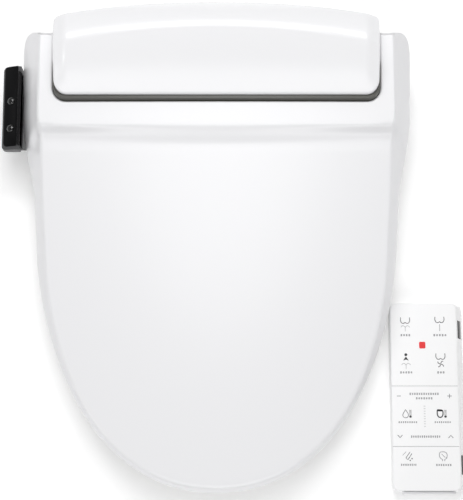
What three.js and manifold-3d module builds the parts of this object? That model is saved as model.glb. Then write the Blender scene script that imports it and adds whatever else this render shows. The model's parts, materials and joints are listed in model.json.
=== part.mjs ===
// Electric bidet seat with its wireless handset, in millimetres.
// +X is the right of someone facing the seat, +Y points to the wall behind it, +Z is up.
// The origin lies on the bowl rim, midway between the two bolts that hold the bracket.
import * as THREE from "three";
import { mergeVertices } from "three/addons/utils/BufferGeometryUtils.js";
import Module from "manifold-3d";

const wasm = await Module();
wasm.setup();

// ---------------------------------------------------------------- driving dimensions

const GAP = 0.3; // clearance between pieces that touch
const WALL = 2.5; // moulded wall of the casings
const SKIN = 3; // moulded wall of the lid and the seat

// The lid and the seat share one outline, from the round nose to the hinge arms.
const NOSE_Y = -432;
const HALF_WIDTH = 203.5;
const SIDE_SEGMENTS = 48;
const RIM = { nose: 34, rise: 24 / 463 }; // height of the lid's lower rim and how it climbs to the rear

// The seat and the lid turn about one line.
const HINGE_Y = 25;
const HINGE_Z = 80;
const PIN_R = 5;
const PIN_BORE_R = 5.4;

// Fixed housing behind the seat.
const HOUSING = { half: 166.5, front: -31, rear: 62, corner: 47.8, bottom: 6.6, top: 97.7 };
const PANEL = { bottom: 98, frontEdge: 101, ridge: 135, rearDrop: 17 };
const TRIM = { r: 60, bottom: 70, top: 97.5, half: 168.6, front: -35.2, sideEnd: 6 };
const COVER = { inner: 166.9, outer: 199, front: -46, rear: 30, top: 36 };
const TRAY = { bottom: 3, top: 6 };

const FEET = [[-184, -30], [184, -30], [-125, 42], [125, 42]];
const CASE_SCREWS = [[-159, -18], [159, -18], [-159, 34], [159, 34]];

// The bracket is bolted to the bowl through two slots, and its rails slide in channels in the tray.
const BRACKET = { half: 95, front: -28, rear: 40, top: 2.7 };
const BOLT_X = 70;
const RAIL = { inner: 82, web: 86, flange: 94, z: 6.3, top: 8.3, front: -24 };

// Water comes in at the left and mains power at the right, both at the rear.
const INLET = { x: -184, z: 21, r: 8, boreR: 5.5, rear: 40 };
const GLAND = { x: 184, z: 21 };
const TANK = { x0: -124, x1: -46, y0: -20, y1: 45, z0: 14, z1: 66 };

// Lid.
const LID = { plateau: 94, stepFrom: -58, stepTo: -70, field: 86, slope: 0.088, cutR: 63, cutHalf: 171.5 };
const LID_CROWN = { field: 2.5, plateau: 1.2 }; // how far the top falls 180 mm to either side
const LID_ARM = { capR: 16, capInnerR: 12.6, wall: 2.7 };
const LID_BUMPER = { x: 62, y: -385, r: 6 };

// Seat ring.
const SEAT = { bottom: 12, floor: 15, below: 2.5, rear: -50, opening: [104, 134, -229] };
const SEAT_INSET = 1.5; // how far the seat's outline stands inside the lid's
const SEAT_ARM = { from: 175, to: 178.5, bossR: 8.6 };
const SEAT_BUMPERS = [[-138, -130], [138, -130], [-78, -372], [78, -372]];
const TUNNEL = { half: 82, top: 29.7, front: -112 };

// Spray nozzles slide down a slope; local Y runs back up the slope from the tip.
const NOZZLE = { x: 14, r: 5.5, length: 130, tipY: -64, tipZ: 12.2, pitch: 35, travel: 75 };
const GEAR = { module: 1, teeth: 12, at: 50, rackLine: -8, width: 4.6, backlash: 0.3, pressure: 20 };

// Side pod with two push buttons. Its face climbs inwards to a ridge and then drops beside the lid.
const POD = { inner: -204.6, front: -82, rear: 8, faceX: -214.5, faceY: -39, faceZ: 70.2, tilt: 22 };
const POD_EDGE = { outer: [-221.8, 68.5], ridge: [-207, 74.5], inner: [-204.6, 72], foot: 56 };
const POD_BUTTON = { r: 4, x: 0.5, y: [9, -20.5] };

// Blower for the warm air dryer.
const BLOWER = { y: 12, z: 44, r: 27, from: 44, to: 74, wheelR: 20, blades: 10 };
const DUCT = { front: -76, rear: -26.3, bottom: 13, top: 27, wall: 2 };

// Handset in its holder.
const HANDSET = { x: 219.8, y: -333, z: 3.3, width: 77, length: 194, height: 20, draft: 4.5, lid: 3.2 };
const HOLDER = { half: 27, plate: 3, lip: 15, screwY: 60 };

// ---------------------------------------------------------------- materials

function finish(color, roughness, metalness = 0) {
  return { color, roughness, metalness };
}
const WHITE = finish(0xf0f0f2, 0.25);
const WHITE_INNER = finish(0xdcdcd8, 0.5);
const DARK_GLOSS = finish(0x4c4c42, 0.12);
const BLACK_GLOSS = finish(0x141416, 0.1);
const GREY = finish(0x9a9a9c, 0.4);
const RUBBER = finish(0x3c3c3e, 0.85);
const STEEL = finish(0xb9bbbd, 0.35, 0.9);
const BOARD = finish(0x2c5a3a, 0.6);
const FOIL = finish(0xc8a060, 0.5, 0.3);
const MOTOR = finish(0x8a8d90, 0.45, 0.6);

// ---------------------------------------------------------------- solids

function toSolid(geometry) {
  const loose = geometry.index ? geometry.toNonIndexed() : geometry;
  const bare = new THREE.BufferGeometry();
  bare.setAttribute("position", loose.getAttribute("position"));
  const merged = mergeVertices(bare, 1e-3);
  const index = merged.index.array;
  const kept = [];
  for (let i = 0; i < index.length; i += 3) {
    const [a, b, c] = index.subarray(i, i + 3);
    if (a !== b && b !== c && c !== a) kept.push(a, b, c);
  }
  const build = (corners) =>
    new wasm.Manifold(
      new wasm.Mesh({
        numProp: 3,
        vertProperties: merged.attributes.position.array,
        triVerts: new Uint32Array(corners),
      }),
    );
  const solid = build(kept);
  if (solid.volume() > 0) return solid;
  return build(kept.reverse());
}

function toGeometry(solid) {
  const mesh = solid.getMesh();
  const position = new Float32Array(mesh.numVert * 3);
  for (let i = 0; i < mesh.numVert; i++) {
    position.set(mesh.vertProperties.subarray(i * mesh.numProp, i * mesh.numProp + 3), i * 3);
  }
  const geometry = new THREE.BufferGeometry();
  geometry.setAttribute("position", new THREE.BufferAttribute(position, 3));
  geometry.setIndex(new THREE.BufferAttribute(mesh.triVerts, 1));
  geometry.computeVertexNormals();
  return geometry;
}

// The main body of a solid, without slivers that a cut left behind.
function mainBody(solid) {
  return solid.decompose().reduce((best, next) => (next.volume() > best.volume() ? next : best));
}

const join = (first, ...rest) => rest.reduce((made, next) => made.add(next), first);
const cut = (first, ...rest) => rest.reduce((made, next) => made.subtract(next), first);
const common = (first, ...rest) => rest.reduce((made, next) => made.intersect(next), first);

// Every shape below can be made in a turned frame, given as a Matrix4.
const HERE = new THREE.Matrix4();

function box(x0, x1, y0, y1, z0, z1, frame = HERE) {
  const geometry = new THREE.BoxGeometry(x1 - x0, y1 - y0, z1 - z0);
  geometry.translate((x0 + x1) / 2, (y0 + y1) / 2, (z0 + z1) / 2);
  return toSolid(geometry.applyMatrix4(frame));
}

// Two boxes, the second mirrored to the other side of the object.
function boxPair(x0, x1, y0, y1, z0, z1) {
  return join(box(x0, x1, y0, y1, z0, z1), box(-x1, -x0, y0, y1, z0, z1));
}

// A cylinder along an axis, from one coordinate to the other, through the two others in order.
function rod(axis, r, from, to, p, q, sides = 16, frame = HERE) {
  const geometry = new THREE.CylinderGeometry(r, r, to - from, sides);
  const middle = (from + to) / 2;
  if (axis === "x") geometry.rotateZ(Math.PI / 2).translate(middle, p, q);
  if (axis === "y") geometry.translate(p, middle, q);
  if (axis === "z") geometry.rotateX(Math.PI / 2).translate(p, q, middle);
  return toSolid(geometry.applyMatrix4(frame));
}

// A plan outline raised from z0 to z1.
function plate(shape, z0, z1, curveSegments = 4) {
  const geometry = new THREE.ExtrudeGeometry(shape, { depth: z1 - z0, bevelEnabled: false, curveSegments });
  return toSolid(geometry.translate(0, 0, z0));
}

// A side profile in (y, z) carried across from x0 to x1.
function across(shape, x0, x1, curveSegments = 4) {
  const geometry = new THREE.ExtrudeGeometry(shape, { depth: x1 - x0, bevelEnabled: false, curveSegments });
  const toSide = new THREE.Matrix4().set(0, 0, 1, x0, 1, 0, 0, 0, 0, 1, 0, 0, 0, 0, 0, 1);
  return toSolid(geometry.applyMatrix4(toSide));
}

// A profile in (x, z) carried along Y.
function along(section, front, rear) {
  const geometry = new THREE.ExtrudeGeometry(section, { depth: rear - front, bevelEnabled: false });
  const stand = new THREE.Matrix4().set(1, 0, 0, 0, 0, 0, -1, rear, 0, 1, 0, 0, 0, 0, 0, 1);
  return toSolid(geometry.applyMatrix4(stand));
}

function polygon(points) {
  return new THREE.Shape(points.map(([x, y]) => new THREE.Vector2(x, y)));
}

function roundedRect(x0, x1, y0, y1, r) {
  const shape = new THREE.Shape();
  shape.moveTo(x0 + r, y0);
  shape.lineTo(x1 - r, y0);
  shape.absarc(x1 - r, y0 + r, r, -Math.PI / 2, 0);
  shape.lineTo(x1, y1 - r);
  shape.absarc(x1 - r, y1 - r, r, 0, Math.PI / 2);
  shape.lineTo(x0 + r, y1);
  shape.absarc(x0 + r, y1 - r, r, Math.PI / 2, Math.PI);
  shape.lineTo(x0, y0 + r);
  shape.absarc(x0 + r, y0 + r, r, Math.PI, Math.PI * 1.5);
  return shape;
}

// A turned piece: the profile is (radius, height), turned about an upright line and then placed.
function turned(profile, frame, sides = 16) {
  const points = profile.map(([r, h]) => new THREE.Vector2(r, h));
  const geometry = new THREE.LatheGeometry(points, sides).rotateX(Math.PI / 2);
  return toSolid(geometry.applyMatrix4(frame));
}

const at = (x, y, z) => new THREE.Matrix4().makeTranslation(x, y, z);

const smooth = (from, to, value) => THREE.MathUtils.smoothstep(value, from, to);
const mix = THREE.MathUtils.lerp;

// ---------------------------------------------------------------- groups and nodes

const root = new THREE.Group();
const seat = new THREE.Group();
const lid = new THREE.Group();
const slope = new THREE.Group();
const podFace = new THREE.Group();
const handset = new THREE.Group();
seat.position.set(0, HINGE_Y, HINGE_Z);
lid.position.set(0, HINGE_Y, HINGE_Z);
slope.position.set(0, NOZZLE.tipY, NOZZLE.tipZ);
slope.rotation.x = THREE.MathUtils.degToRad(NOZZLE.pitch);
podFace.position.set(POD.faceX, POD.faceY, POD.faceZ);
podFace.rotation.y = -THREE.MathUtils.degToRad(POD.tilt);
handset.position.set(HANDSET.x, HANDSET.y, HANDSET.z);
root.add(seat, lid, slope, podFace, handset);
root.updateMatrixWorld(true);

// Adds a node whose solid is given in the part's own frame, whatever group it hangs in.
function piece(group, name, solid, look) {
  const geometry = toGeometry(solid);
  geometry.applyMatrix4(group.matrixWorld.clone().invert());
  const material = new THREE.MeshStandardMaterial(look);
  const mesh = new THREE.Mesh(geometry, material);
  mesh.name = name;
  group.add(mesh);
}

// ---------------------------------------------------------------- outlines of seat and lid

// The right side from the nose to where the flare at the hinge arms begins.
function frontOutline(inset) {
  const path = new THREE.Path();
  path.moveTo(0, NOSE_Y + inset);
  path.bezierCurveTo(139 - inset, NOSE_Y + inset, 184 - inset, -262, 187 - inset, -185);
  path.lineTo(190.5 - inset, -130);
  return path;
}

// Right half of the lid's outline, from the nose round to the middle of the rear edge.
function lidOutline(rearY, cornerR) {
  const path = frontOutline(0);
  path.bezierCurveTo(192, -105, 202, -80, HALF_WIDTH, -42);
  path.lineTo(HALF_WIDTH, rearY - cornerR);
  path.absarc(HALF_WIDTH - cornerR, rearY - cornerR, cornerR, 0, Math.PI / 2);
  path.lineTo(0, rearY);
  return path;
}

function seatOutline() {
  const path = frontOutline(SEAT_INSET);
  path.bezierCurveTo(190.5, -105, 197, -92, 198.5, -74);
  path.quadraticCurveTo(199, SEAT.rear, 176, SEAT.rear);
  path.lineTo(0, SEAT.rear);
  return path;
}

function seatOpening() {
  const [a, b, y] = SEAT.opening;
  return new THREE.Path().absellipse(0, y, a, b, -Math.PI / 2, Math.PI / 2);
}

// A point on the whole loop: u runs from the nose, up the right side and down the left.
function loopPoint(path, u) {
  if (u <= 0.5) return path.getPoint(2 * u);
  const p = path.getPoint(2 - 2 * u);
  return new THREE.Vector2(-p.x, p.y);
}

// Bends a turned profile onto a free outline: place(u, radius, height) gives each point's new place.
function bent(profile, place) {
  const points = profile.map(([r, h]) => new THREE.Vector2(r, h));
  const geometry = new THREE.LatheGeometry(points, SIDE_SEGMENTS);
  const position = geometry.getAttribute("position");
  for (let i = 0; i < position.count; i++) {
    const step = Math.floor(i / points.length) % SIDE_SEGMENTS;
    const [r, h] = profile[i % points.length];
    const p = place(step / SIDE_SEGMENTS, r, h);
    position.setXYZ(i, p.x, p.y, p.z);
  }
  return toSolid(geometry);
}

const rimZ = (y) => RIM.nose + RIM.rise * (y - NOSE_Y);

function lidTopZ(x, y) {
  const aside = (x / 180) ** 2;
  const field = LID.field + LID.slope * Math.min(0, y - LID.stepTo) - LID_CROWN.field * aside;
  const plateau = LID.plateau - LID_CROWN.plateau * aside;
  return mix(field, plateau, smooth(LID.stepTo, LID.stepFrom, y));
}

// How far the top edge of the lid's side stands in from its rim.
function flankWidth(y) {
  return mix(7.5, 11, smooth(-280, -180, y)) + 9.5 * smooth(-135, -60, y);
}

// ---------------------------------------------------------------- lid

const LID_CENTRE = new THREE.Vector2(0, -190);
const LID_OUTLINE = lidOutline(70, 6);

// Radius 0 to 1 is the top, 1 to 2 the side, 2 the rim; a negative height is the underside.
function lidPlace(inset, drop) {
  const edgeDrop = 1.2;
  return (u, r, h) => {
    const rim = loopPoint(LID_OUTLINE, u);
    const before = loopPoint(LID_OUTLINE, (u + 0.998) % 1);
    const after = loopPoint(LID_OUTLINE, (u + 0.002) % 1);
    const normal = new THREE.Vector2(after.y - before.y, before.x - after.x).normalize();
    const edge = rim.clone().addScaledVector(normal, -flankWidth(rim.y) - inset);
    rim.addScaledVector(normal, -inset);
    if (h < 0) {
      const p = LID_CENTRE.clone().lerp(rim, Math.min(1, r / 2));
      return new THREE.Vector3(p.x, p.y, rimZ(p.y) + h + 1);
    }
    if (r <= 1) {
      const p = LID_CENTRE.clone().lerp(edge, r);
      const rounding = edgeDrop * smooth(0.93, 1, r);
      return new THREE.Vector3(p.x, p.y, lidTopZ(p.x, p.y) - drop - rounding);
    }
    const p = edge.clone().lerp(rim, r - 1);
    const top = lidTopZ(edge.x, edge.y) - drop - edgeDrop;
    const swell = 2.2 * Math.sin(Math.PI * (r - 1));
    return new THREE.Vector3(p.x, p.y, mix(top, rimZ(rim.y), r - 1) + swell);
  };
}

const LID_STEPS = [0, 0.35, 0.65, 0.88, 1];

function lidSolid(inset, drop, below) {
  const top = LID_STEPS.map((r) => [r, 0]);
  const side = [
    [1.3, 0],
    [1.65, 0],
    [2, 0],
  ];
  const under = [
    [2, -1 - below],
    [1, -1 - below],
    [0, -1 - below],
  ];
  return bent([...top, ...side, ...under], lidPlace(inset, drop));
}

// Everything behind the hinge line and outside a circle round it.
function behindHinge(r) {
  const beyond = box(-230, 230, HINGE_Y, 90, 10, 130);
  return cut(beyond, rod("x", r, -231, 231, HINGE_Y, HINGE_Z, 32));
}

// The U of space that the housing stands in, swept round the hinge line.
function housingSpace(r, half) {
  const round = rod("x", r, -half, half, HINGE_Y, HINGE_Z, 48);
  return join(round, box(-half, half, -30, 90, 10, 130));
}

function makeLid() {
  const outer = cut(lidSolid(0, 0, 0.2), behindHinge(LID_ARM.capR));
  const collar = housingSpace(LID.cutR + SKIN, LID.cutHalf + LID_ARM.wall);
  const hollow = cut(lidSolid(SKIN, SKIN, 24), behindHinge(LID_ARM.capInnerR), collar);
  const shell = cut(outer, hollow, housingSpace(LID.cutR, LID.cutHalf));
  const pinBores = join(
    rod("x", PIN_BORE_R, -176, -170, HINGE_Y, HINGE_Z),
    rod("x", PIN_BORE_R, 170, 176, HINGE_Y, HINGE_Z),
  );
  const wallEnd = LID.cutHalf + LID_ARM.wall;
  const armSlots = boxPair(wallEnd, 182, HINGE_Y, 45, 55, 81);
  const belowCollar = box(-wallEnd, wallEnd, -45, -25, 30, 68);
  piece(lid, "lid_shell", mainBody(cut(shell, pinBores, armSlots, belowCollar)), WHITE);
}

// Rubber stops that the closed lid rests on.
function makeLidBumpers() {
  for (const [side, name] of [[-1, "left"], [1, "right"]]) {
    const { y, r } = LID_BUMPER;
    const x = side * LID_BUMPER.x;
    const foot = rimZ(y) - SEAT.below + 1.2;
    const head = lidTopZ(x, y) - SKIN - 1.2;
    const profile = [[0, foot], [r - 2, foot], [r, foot + 2.3], [r - 1, head], [0, head]];
    piece(lid, `lid_bumper_${name}`, turned(profile, at(x, y, 0), 16), RUBBER);
  }
}

// ---------------------------------------------------------------- seat

const SEAT_OUTLINE = seatOutline();
const SEAT_OPENING = seatOpening();

// Radius 1 is the opening, radius 2 the outer edge; height runs from the bottom (0) to the top (1).
function seatPlace(bottom) {
  return (u, r, h) => {
    const inner = loopPoint(SEAT_OPENING, u);
    const outer = loopPoint(SEAT_OUTLINE, u);
    const p = inner.lerp(outer, r - 1);
    return new THREE.Vector3(p.x, p.y, mix(bottom, rimZ(p.y) - SEAT.below, h));
  };
}

function seatTunnel(half, top) {
  return box(-half, half, TUNNEL.front, SEAT.rear + 2, 5, top);
}

function seatArm(side) {
  const near = side * SEAT_ARM.from;
  const far = side * SEAT_ARM.to;
  const blade = polygon([
    [-72, 16],
    [-51, 16],
    [-49, 39],
    [22, 72.4],
    [22, 88],
    [-72, 45.5],
  ]);
  const boss = rod("x", SEAT_ARM.bossR, Math.min(near, far), Math.max(near, far), HINGE_Y, HINGE_Z);
  return join(across(blade, Math.min(near, far), Math.max(near, far)), boss);
}

function makeSeat() {
  const section = [
    [1, 0],
    [1, 0.5],
    [1.04, 0.78],
    [1.28, 0.96],
    [1.6, 1],
    [1.88, 0.97],
    [1.975, 0.82],
    [2, 0.55],
    [2, 0],
    [1.965, 0],
    [1.965, 0.52],
    [1.94, 0.7],
    [1.85, 0.84],
    [1.6, 0.88],
    [1.3, 0.84],
    [1.08, 0.68],
    [1.038, 0.48],
    [1.038, 0],
    [1, 0],
  ];
  const shell = bent(section, seatPlace(SEAT.floor + GAP));
  const pinBores = rod("x", PIN_BORE_R, -190, 190, HINGE_Y, HINGE_Z);
  const top = cut(join(shell, seatArm(1), seatArm(-1)), pinBores, seatTunnel(TUNNEL.half, TUNNEL.top));
  piece(seat, "seat_top", top, WHITE);

  const floor = (u, r, h) => {
    const p = seatPlace(0)(u, r, 0);
    return new THREE.Vector3(p.x, p.y, mix(SEAT.bottom, SEAT.floor, h));
  };
  const ring = bent([[1, 0], [1, 1], [2, 1], [2, 0], [1, 0]], floor);
  const stems = SEAT_BUMPERS.map(([x, y]) => rod("z", 2.3, 10, 16, x, y, 12));
  piece(seat, "seat_base", cut(ring, seatTunnel(TUNNEL.half, TUNNEL.top), ...stems), WHITE_INNER);

  const foil = [
    [1.34, 0.77],
    [1.34, 0.81],
    [1.6, 0.845],
    [1.82, 0.81],
    [1.82, 0.77],
    [1.6, 0.8],
    [1.34, 0.77],
  ];
  const heater = bent(foil, seatPlace(SEAT.floor + GAP));
  piece(seat, "seat_heater", cut(heater, seatTunnel(TUNNEL.half + 6, 60)), FOIL);
}

function makeSeatBumpers() {
  const head = SEAT.bottom - GAP;
  const profile = [[0, 0], [7, 0], [8, 1.5], [8, head], [2, head], [2, 14.5], [0, 14.5]];
  SEAT_BUMPERS.forEach(([x, y], i) => {
    piece(seat, `seat_bumper_${i + 1}`, turned(profile, at(x, y, 0), 16), RUBBER);
  });
}

// ---------------------------------------------------------------- housing

// Plan of the housing: a straight front with round corners and a bowed rear.
function housingPlan(half, front, grow = 0) {
  const frontR = 13;
  const rearR = 5;
  const rise = HOUSING.rear - HOUSING.corner;
  const bowR = (half ** 2 + rise ** 2) / (2 * rise);
  const bowHalf = Math.asin((half - rearR) / bowR);
  const bowY = HOUSING.rear + grow - bowR;
  const shape = new THREE.Shape();
  shape.moveTo(-half + frontR, front);
  shape.lineTo(half - frontR, front);
  shape.absarc(half - frontR, front + frontR, frontR, -Math.PI / 2, 0);
  shape.lineTo(half, HOUSING.corner - rearR);
  shape.absarc(0, bowY, bowR, Math.PI / 2 - bowHalf, Math.PI / 2 + bowHalf);
  shape.lineTo(-half, HOUSING.corner - rearR);
  shape.lineTo(-half, front + frontR);
  shape.absarc(-half + frontR, front + frontR, frontR, Math.PI, Math.PI * 1.5);
  return shape;
}

function makeHousing() {
  const outside = plate(housingPlan(HOUSING.half, HOUSING.front), HOUSING.bottom, HOUSING.top, 6);
  const inside = plate(housingPlan(HOUSING.half - WALL, HOUSING.front + WALL, -WALL), 0, 130, 6);
  const posts = CASE_SCREWS.map(([x, y]) => rod("z", 5.5, HOUSING.bottom, 40, x, y, 16));
  const bores = CASE_SCREWS.map(([x, y]) => rod("z", 1.8, 0, 26, x, y, 12));
  const openings = [
    rod("x", PIN_BORE_R, -180, 180, HINGE_Y, HINGE_Z),
    box(-28, 28, -35, -20, 0, 54),
    box(BLOWER.from - 0.5, BLOWER.to + 0.5, -35, -20, DUCT.bottom - 0.5, DUCT.top + 0.5),
    boxPair(76.5, 99.5, 0, 70, 0, 11.4),
    boxPair(150, 180, -6, 26, 14, 28),
  ];
  const shell = join(cut(outside, inside), ...posts);
  piece(root, "housing_shell", cut(shell, ...openings, ...bores), WHITE);
}

// Top surface of the panel: a rounded face that climbs to a bowed ridge, then falls to the rear.
function panelZ(x, y) {
  const ridgeY = 32 - 13 * (x / 145) ** 2;
  const ridge = PANEL.ridge - 6 * (x / 150) ** 2;
  const sideDrop = 5 * smooth(152, 168, Math.abs(x));
  if (y < ridgeY) {
    const t = (y - HOUSING.front) / (ridgeY - HOUSING.front);
    return mix(PANEL.frontEdge, ridge - sideDrop, t * (1.35 - 0.35 * t));
  }
  const t = (y - ridgeY) / (HOUSING.rear - ridgeY);
  return ridge - sideDrop - PANEL.rearDrop * t * t;
}

function panelBody(drop, bottom) {
  const geometry = new THREE.BoxGeometry(340, HOUSING.rear - HOUSING.front, 1, 12, 8, 1);
  const position = geometry.getAttribute("position");
  for (let i = 0; i < position.count; i++) {
    const x = position.getX(i);
    const y = position.getY(i) + (HOUSING.rear + HOUSING.front) / 2;
    const z = position.getZ(i) > 0 ? panelZ(x, y) - drop : bottom;
    position.setXYZ(i, x, y, z);
  }
  return toSolid(geometry);
}

function makeTopPanel() {
  const plan = housingPlan(HOUSING.half, HOUSING.front);
  const inner = housingPlan(HOUSING.half - WALL, HOUSING.front + WALL, -WALL);
  const outside = common(panelBody(0, PANEL.bottom), plate(plan, 90, 140, 6));
  const inside = common(panelBody(WALL, PANEL.bottom - 5), plate(inner, 90, 140, 6));
  piece(root, "top_panel", cut(outside, inside), WHITE);
}

function makeTrim() {
  const strip = plate(housingPlan(TRIM.half, TRIM.front), TRIM.bottom, TRIM.top, 6);
  const reach = rod("x", TRIM.r, -200, 200, HINGE_Y, HINGE_Z, 72);
  const body = plate(housingPlan(HOUSING.half + GAP, HOUSING.front - GAP, 2), 60, 110, 6);
  const rest = box(-200, 200, TRIM.sideEnd, 90, 60, 110);
  piece(root, "trim_strip", cut(common(strip, reach), body, rest), DARK_GLOSS);
}

function makeTray() {
  const floor = plate(housingPlan(HOUSING.half, HOUSING.front), TRAY.bottom, TRAY.top, 6);
  const wings = boxPair(155, COVER.outer, COVER.front, COVER.rear, TRAY.bottom, TRAY.top);
  const channels = boxPair(77, 99, -27.9, 52, TRAY.bottom + 1, 11);
  const hollow = boxPair(79.5, 96.5, -25.4, 70, TRAY.top - GAP, 8.6);
  const slots = boxPair(RAIL.inner - 1, RAIL.web + 1.5, -25.4, 70, 0, 8.6);
  const screwHole = ([x, y]) => join(rod("z", 3.8, 0, 5, x, y, 16), rod("z", 1.9, 0, 7, x, y, 12));
  const screws = CASE_SCREWS.map(screwHole);
  const feet = FEET.map(([x, y]) => rod("z", 2.8, 0, 7, x, y, 12));
  const tray = join(floor, wings, channels);
  piece(root, "base_tray", cut(tray, hollow, slots, ...screws, ...feet), WHITE_INNER);
}

function makeFeetAndScrews() {
  const foot = [[0, 0], [7, 0], [8, 0.8], [8, 2.7], [2.5, 2.7], [2.5, 5.6], [0, 5.6]];
  FEET.forEach(([x, y], i) => {
    piece(root, `rubber_foot_${i + 1}`, turned(foot, at(x, y, 0), 16), RUBBER);
  });
  const screw = [[0, 3.4], [3.4, 3.4], [3.4, 4.7], [1.5, 4.7], [1.5, 20], [0, 21]];
  CASE_SCREWS.forEach(([x, y], i) => {
    piece(root, `case_screw_${i + 1}`, turned(screw, at(x, y, 0), 12), STEEL);
  });
}

// Two distances from the middle, turned to the side given and put in order.
function span(side, a, b) {
  return [Math.min(side * a, side * b), Math.max(side * a, side * b)];
}

// Low covers beside the housing, under the lid's arms.
function makeSideCovers() {
  for (const [side, name] of [[-1, "left"], [1, "right"]]) {
    const { inner: near, outer: far, front, rear, top } = COVER;
    const outer = box(...span(side, near, far), front, rear, HOUSING.bottom, top);
    const inner = box(...span(side, near - 1, far - WALL), front + WALL, rear - WALL, 0, top - WALL);
    const portR = side < 0 ? INLET.r + 0.4 : 6.4;
    const port = rod("y", portR, 20, 40, side * GLAND.x, GLAND.z, 24);
    const bores = side > 0 ? rod("x", 7.4, 190, 205, -8, 20, 24) : box(-205, -190, -14, -2, 16, 28);
    piece(root, `side_cover_${name}`, cut(outer, inner, port, bores), WHITE);
  }
}

function makeHinges() {
  for (const [side, name, role] of [[-1, "left", "seat"], [1, "right", "lid"]]) {
    const pinFrom = 150;
    piece(root, `hinge_pin_${name}`, rod("x", PIN_R, ...span(side, pinFrom, 181), HINGE_Y, HINGE_Z), STEEL);
    const can = rod("x", 12, ...span(side, 120, pinFrom - GAP), HINGE_Y, HINGE_Z);
    const lug = box(...span(side, 124, 132), HINGE_Y - 17, HINGE_Y + 17, HINGE_Z - 4, HINGE_Z + 4);
    piece(root, `${role}_damper`, join(can, lug), GREY);
  }
}

function makeBracket() {
  const { half, front, rear, top } = BRACKET;
  const base = plate(roundedRect(-half, half, front, rear, 6), 0, top);
  const webs = boxPair(RAIL.inner, RAIL.web, RAIL.front, rear, 2, RAIL.top);
  const flanges = boxPair(RAIL.inner, RAIL.flange, RAIL.front, rear, RAIL.z, RAIL.top);
  const slots = [-BOLT_X, BOLT_X].map((x) => plate(roundedRect(x - 10, x + 10, -6, 6, 5.9), -1, top + 1));
  piece(root, "mounting_bracket", cut(join(base, webs, flanges), ...slots), WHITE_INNER);
}

function makeReleaseButton() {
  const profile = [[0, 189.5], [9, 189.5], [9, 191.5], [7, 191.5], [7, 200.5], [6, 201.5], [0, 201.5]];
  const sideways = new THREE.Matrix4().makeRotationY(Math.PI / 2).setPosition(0, -8, 20);
  piece(root, "release_button", turned(profile, sideways, 16), GREY);
}

// ---------------------------------------------------------------- nozzles

const onSlope = slope.matrixWorld;

function inSlope(x0, x1, y0, y1, z0, z1) {
  return box(x0, x1, y0, y1, z0, z1, onSlope);
}

function makeNozzleGuide() {
  const roof = inSlope(-25, 25, 34, 100, 6.1, 8.5);
  const rails = [[-25, -21], [-6.5, 6.5], [21, 25]].map(([a, b]) => inSlope(a, b, 34, 100, -8.5, 8.5));
  const leg = box(-5, 5, -12, 14, 6.3, 40);
  const foot = box(-20, 20, -12, 14, 6.3, 9);
  const shaft = rod("x", 1.7, -27, 27, GEAR.at, GEAR.rackLine - 6, 12, onSlope);
  const hood = box(-34, 34, -80, -36, 4, 28);
  const hollow = box(-31.5, 31.5, -84, -33, 3, 25.5);
  const relief = box(-31.5, 31.5, -57, -33, 20, 30);
  const posts = boxPair(31.5, 34, -41, -36, 20, 40);
  const yoke = inSlope(-34, 34, 34, 41, 6.1, 8.5);
  const cover = join(cut(hood, hollow, relief), posts, yoke);
  piece(root, "nozzle_guide", cut(join(roof, ...rails, leg, foot, cover), shaft), WHITE_INNER);
}

// Teeth of the rack, drawn along the slope with their tips pointing down.
function rackProfile() {
  const pitch = Math.PI * GEAR.module;
  const lean = Math.tan(THREE.MathUtils.degToRad(GEAR.pressure));
  const half = (pitch - GEAR.backlash) / 4;
  const tip = GEAR.rackLine - 0.7;
  const valley = GEAR.rackLine + 1.25;
  const points = [];
  const teeth = Math.ceil(NOZZLE.travel / pitch) + 3;
  for (let k = -1; k < teeth - 1; k++) {
    const s = GEAR.at + k * pitch;
    points.push([s - half - 1.25 * lean, valley]);
    points.push([s - half + 0.7 * lean, tip]);
    points.push([s + half - 0.7 * lean, tip]);
    points.push([s + half + 1.25 * lean, valley]);
  }
  const start = points[0][0] - 1.5;
  const end = points[points.length - 1][0] + 0.5;
  return polygon([[start, valley], ...points, [end, valley], [end, -4], [start, -4]]);
}

function makeNozzle(name, x) {
  const { r, length } = NOZZLE;
  const profile = [[0, 0], [3.2, 0.6], [5, 2.6], [r, 6], [r, length], [0, length]];
  const lie = onSlope.clone().multiply(new THREE.Matrix4().makeRotationX(-Math.PI / 2).setPosition(x, 0, 0));
  const tube = turned(profile, lie, 16);
  const geometry = new THREE.ExtrudeGeometry(rackProfile(), { depth: GEAR.width, bevelEnabled: false });
  const toSide = new THREE.Matrix4().set(0, 0, 1, x - GEAR.width / 2, 1, 0, 0, 0, 0, 1, 0, 0, 0, 0, 0, 1);
  const rack = toSolid(geometry.applyMatrix4(toSide).applyMatrix4(onSlope));
  piece(slope, name, join(tube, rack), WHITE);
}

// Involute pinion with its tooth gaps turned to meet the rack above it.
function pinionProfile() {
  const pitchR = (GEAR.module * GEAR.teeth) / 2;
  const pressure = THREE.MathUtils.degToRad(GEAR.pressure);
  const baseR = pitchR * Math.cos(pressure);
  const involute = (r) => {
    const a = Math.acos(Math.min(1, baseR / r));
    return Math.tan(a) - a;
  };
  const halfAtPitch = (Math.PI * GEAR.module - GEAR.backlash) / 4 / pitchR;
  const half = (r) => halfAtPitch + involute(pitchR) - involute(Math.max(r, baseR));
  const radii = [pitchR - 1, baseR, pitchR, pitchR + 0.9];
  const points = [];
  for (let i = 0; i < GEAR.teeth; i++) {
    const middle = ((i + 0.5) / GEAR.teeth) * Math.PI * 2 + Math.PI / 2;
    for (const r of radii) points.push([r, middle - half(r)]);
    for (const r of [...radii].reverse()) points.push([r, middle + half(r)]);
  }
  return polygon(points.map(([r, a]) => [r * Math.cos(a), r * Math.sin(a)]));
}

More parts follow.
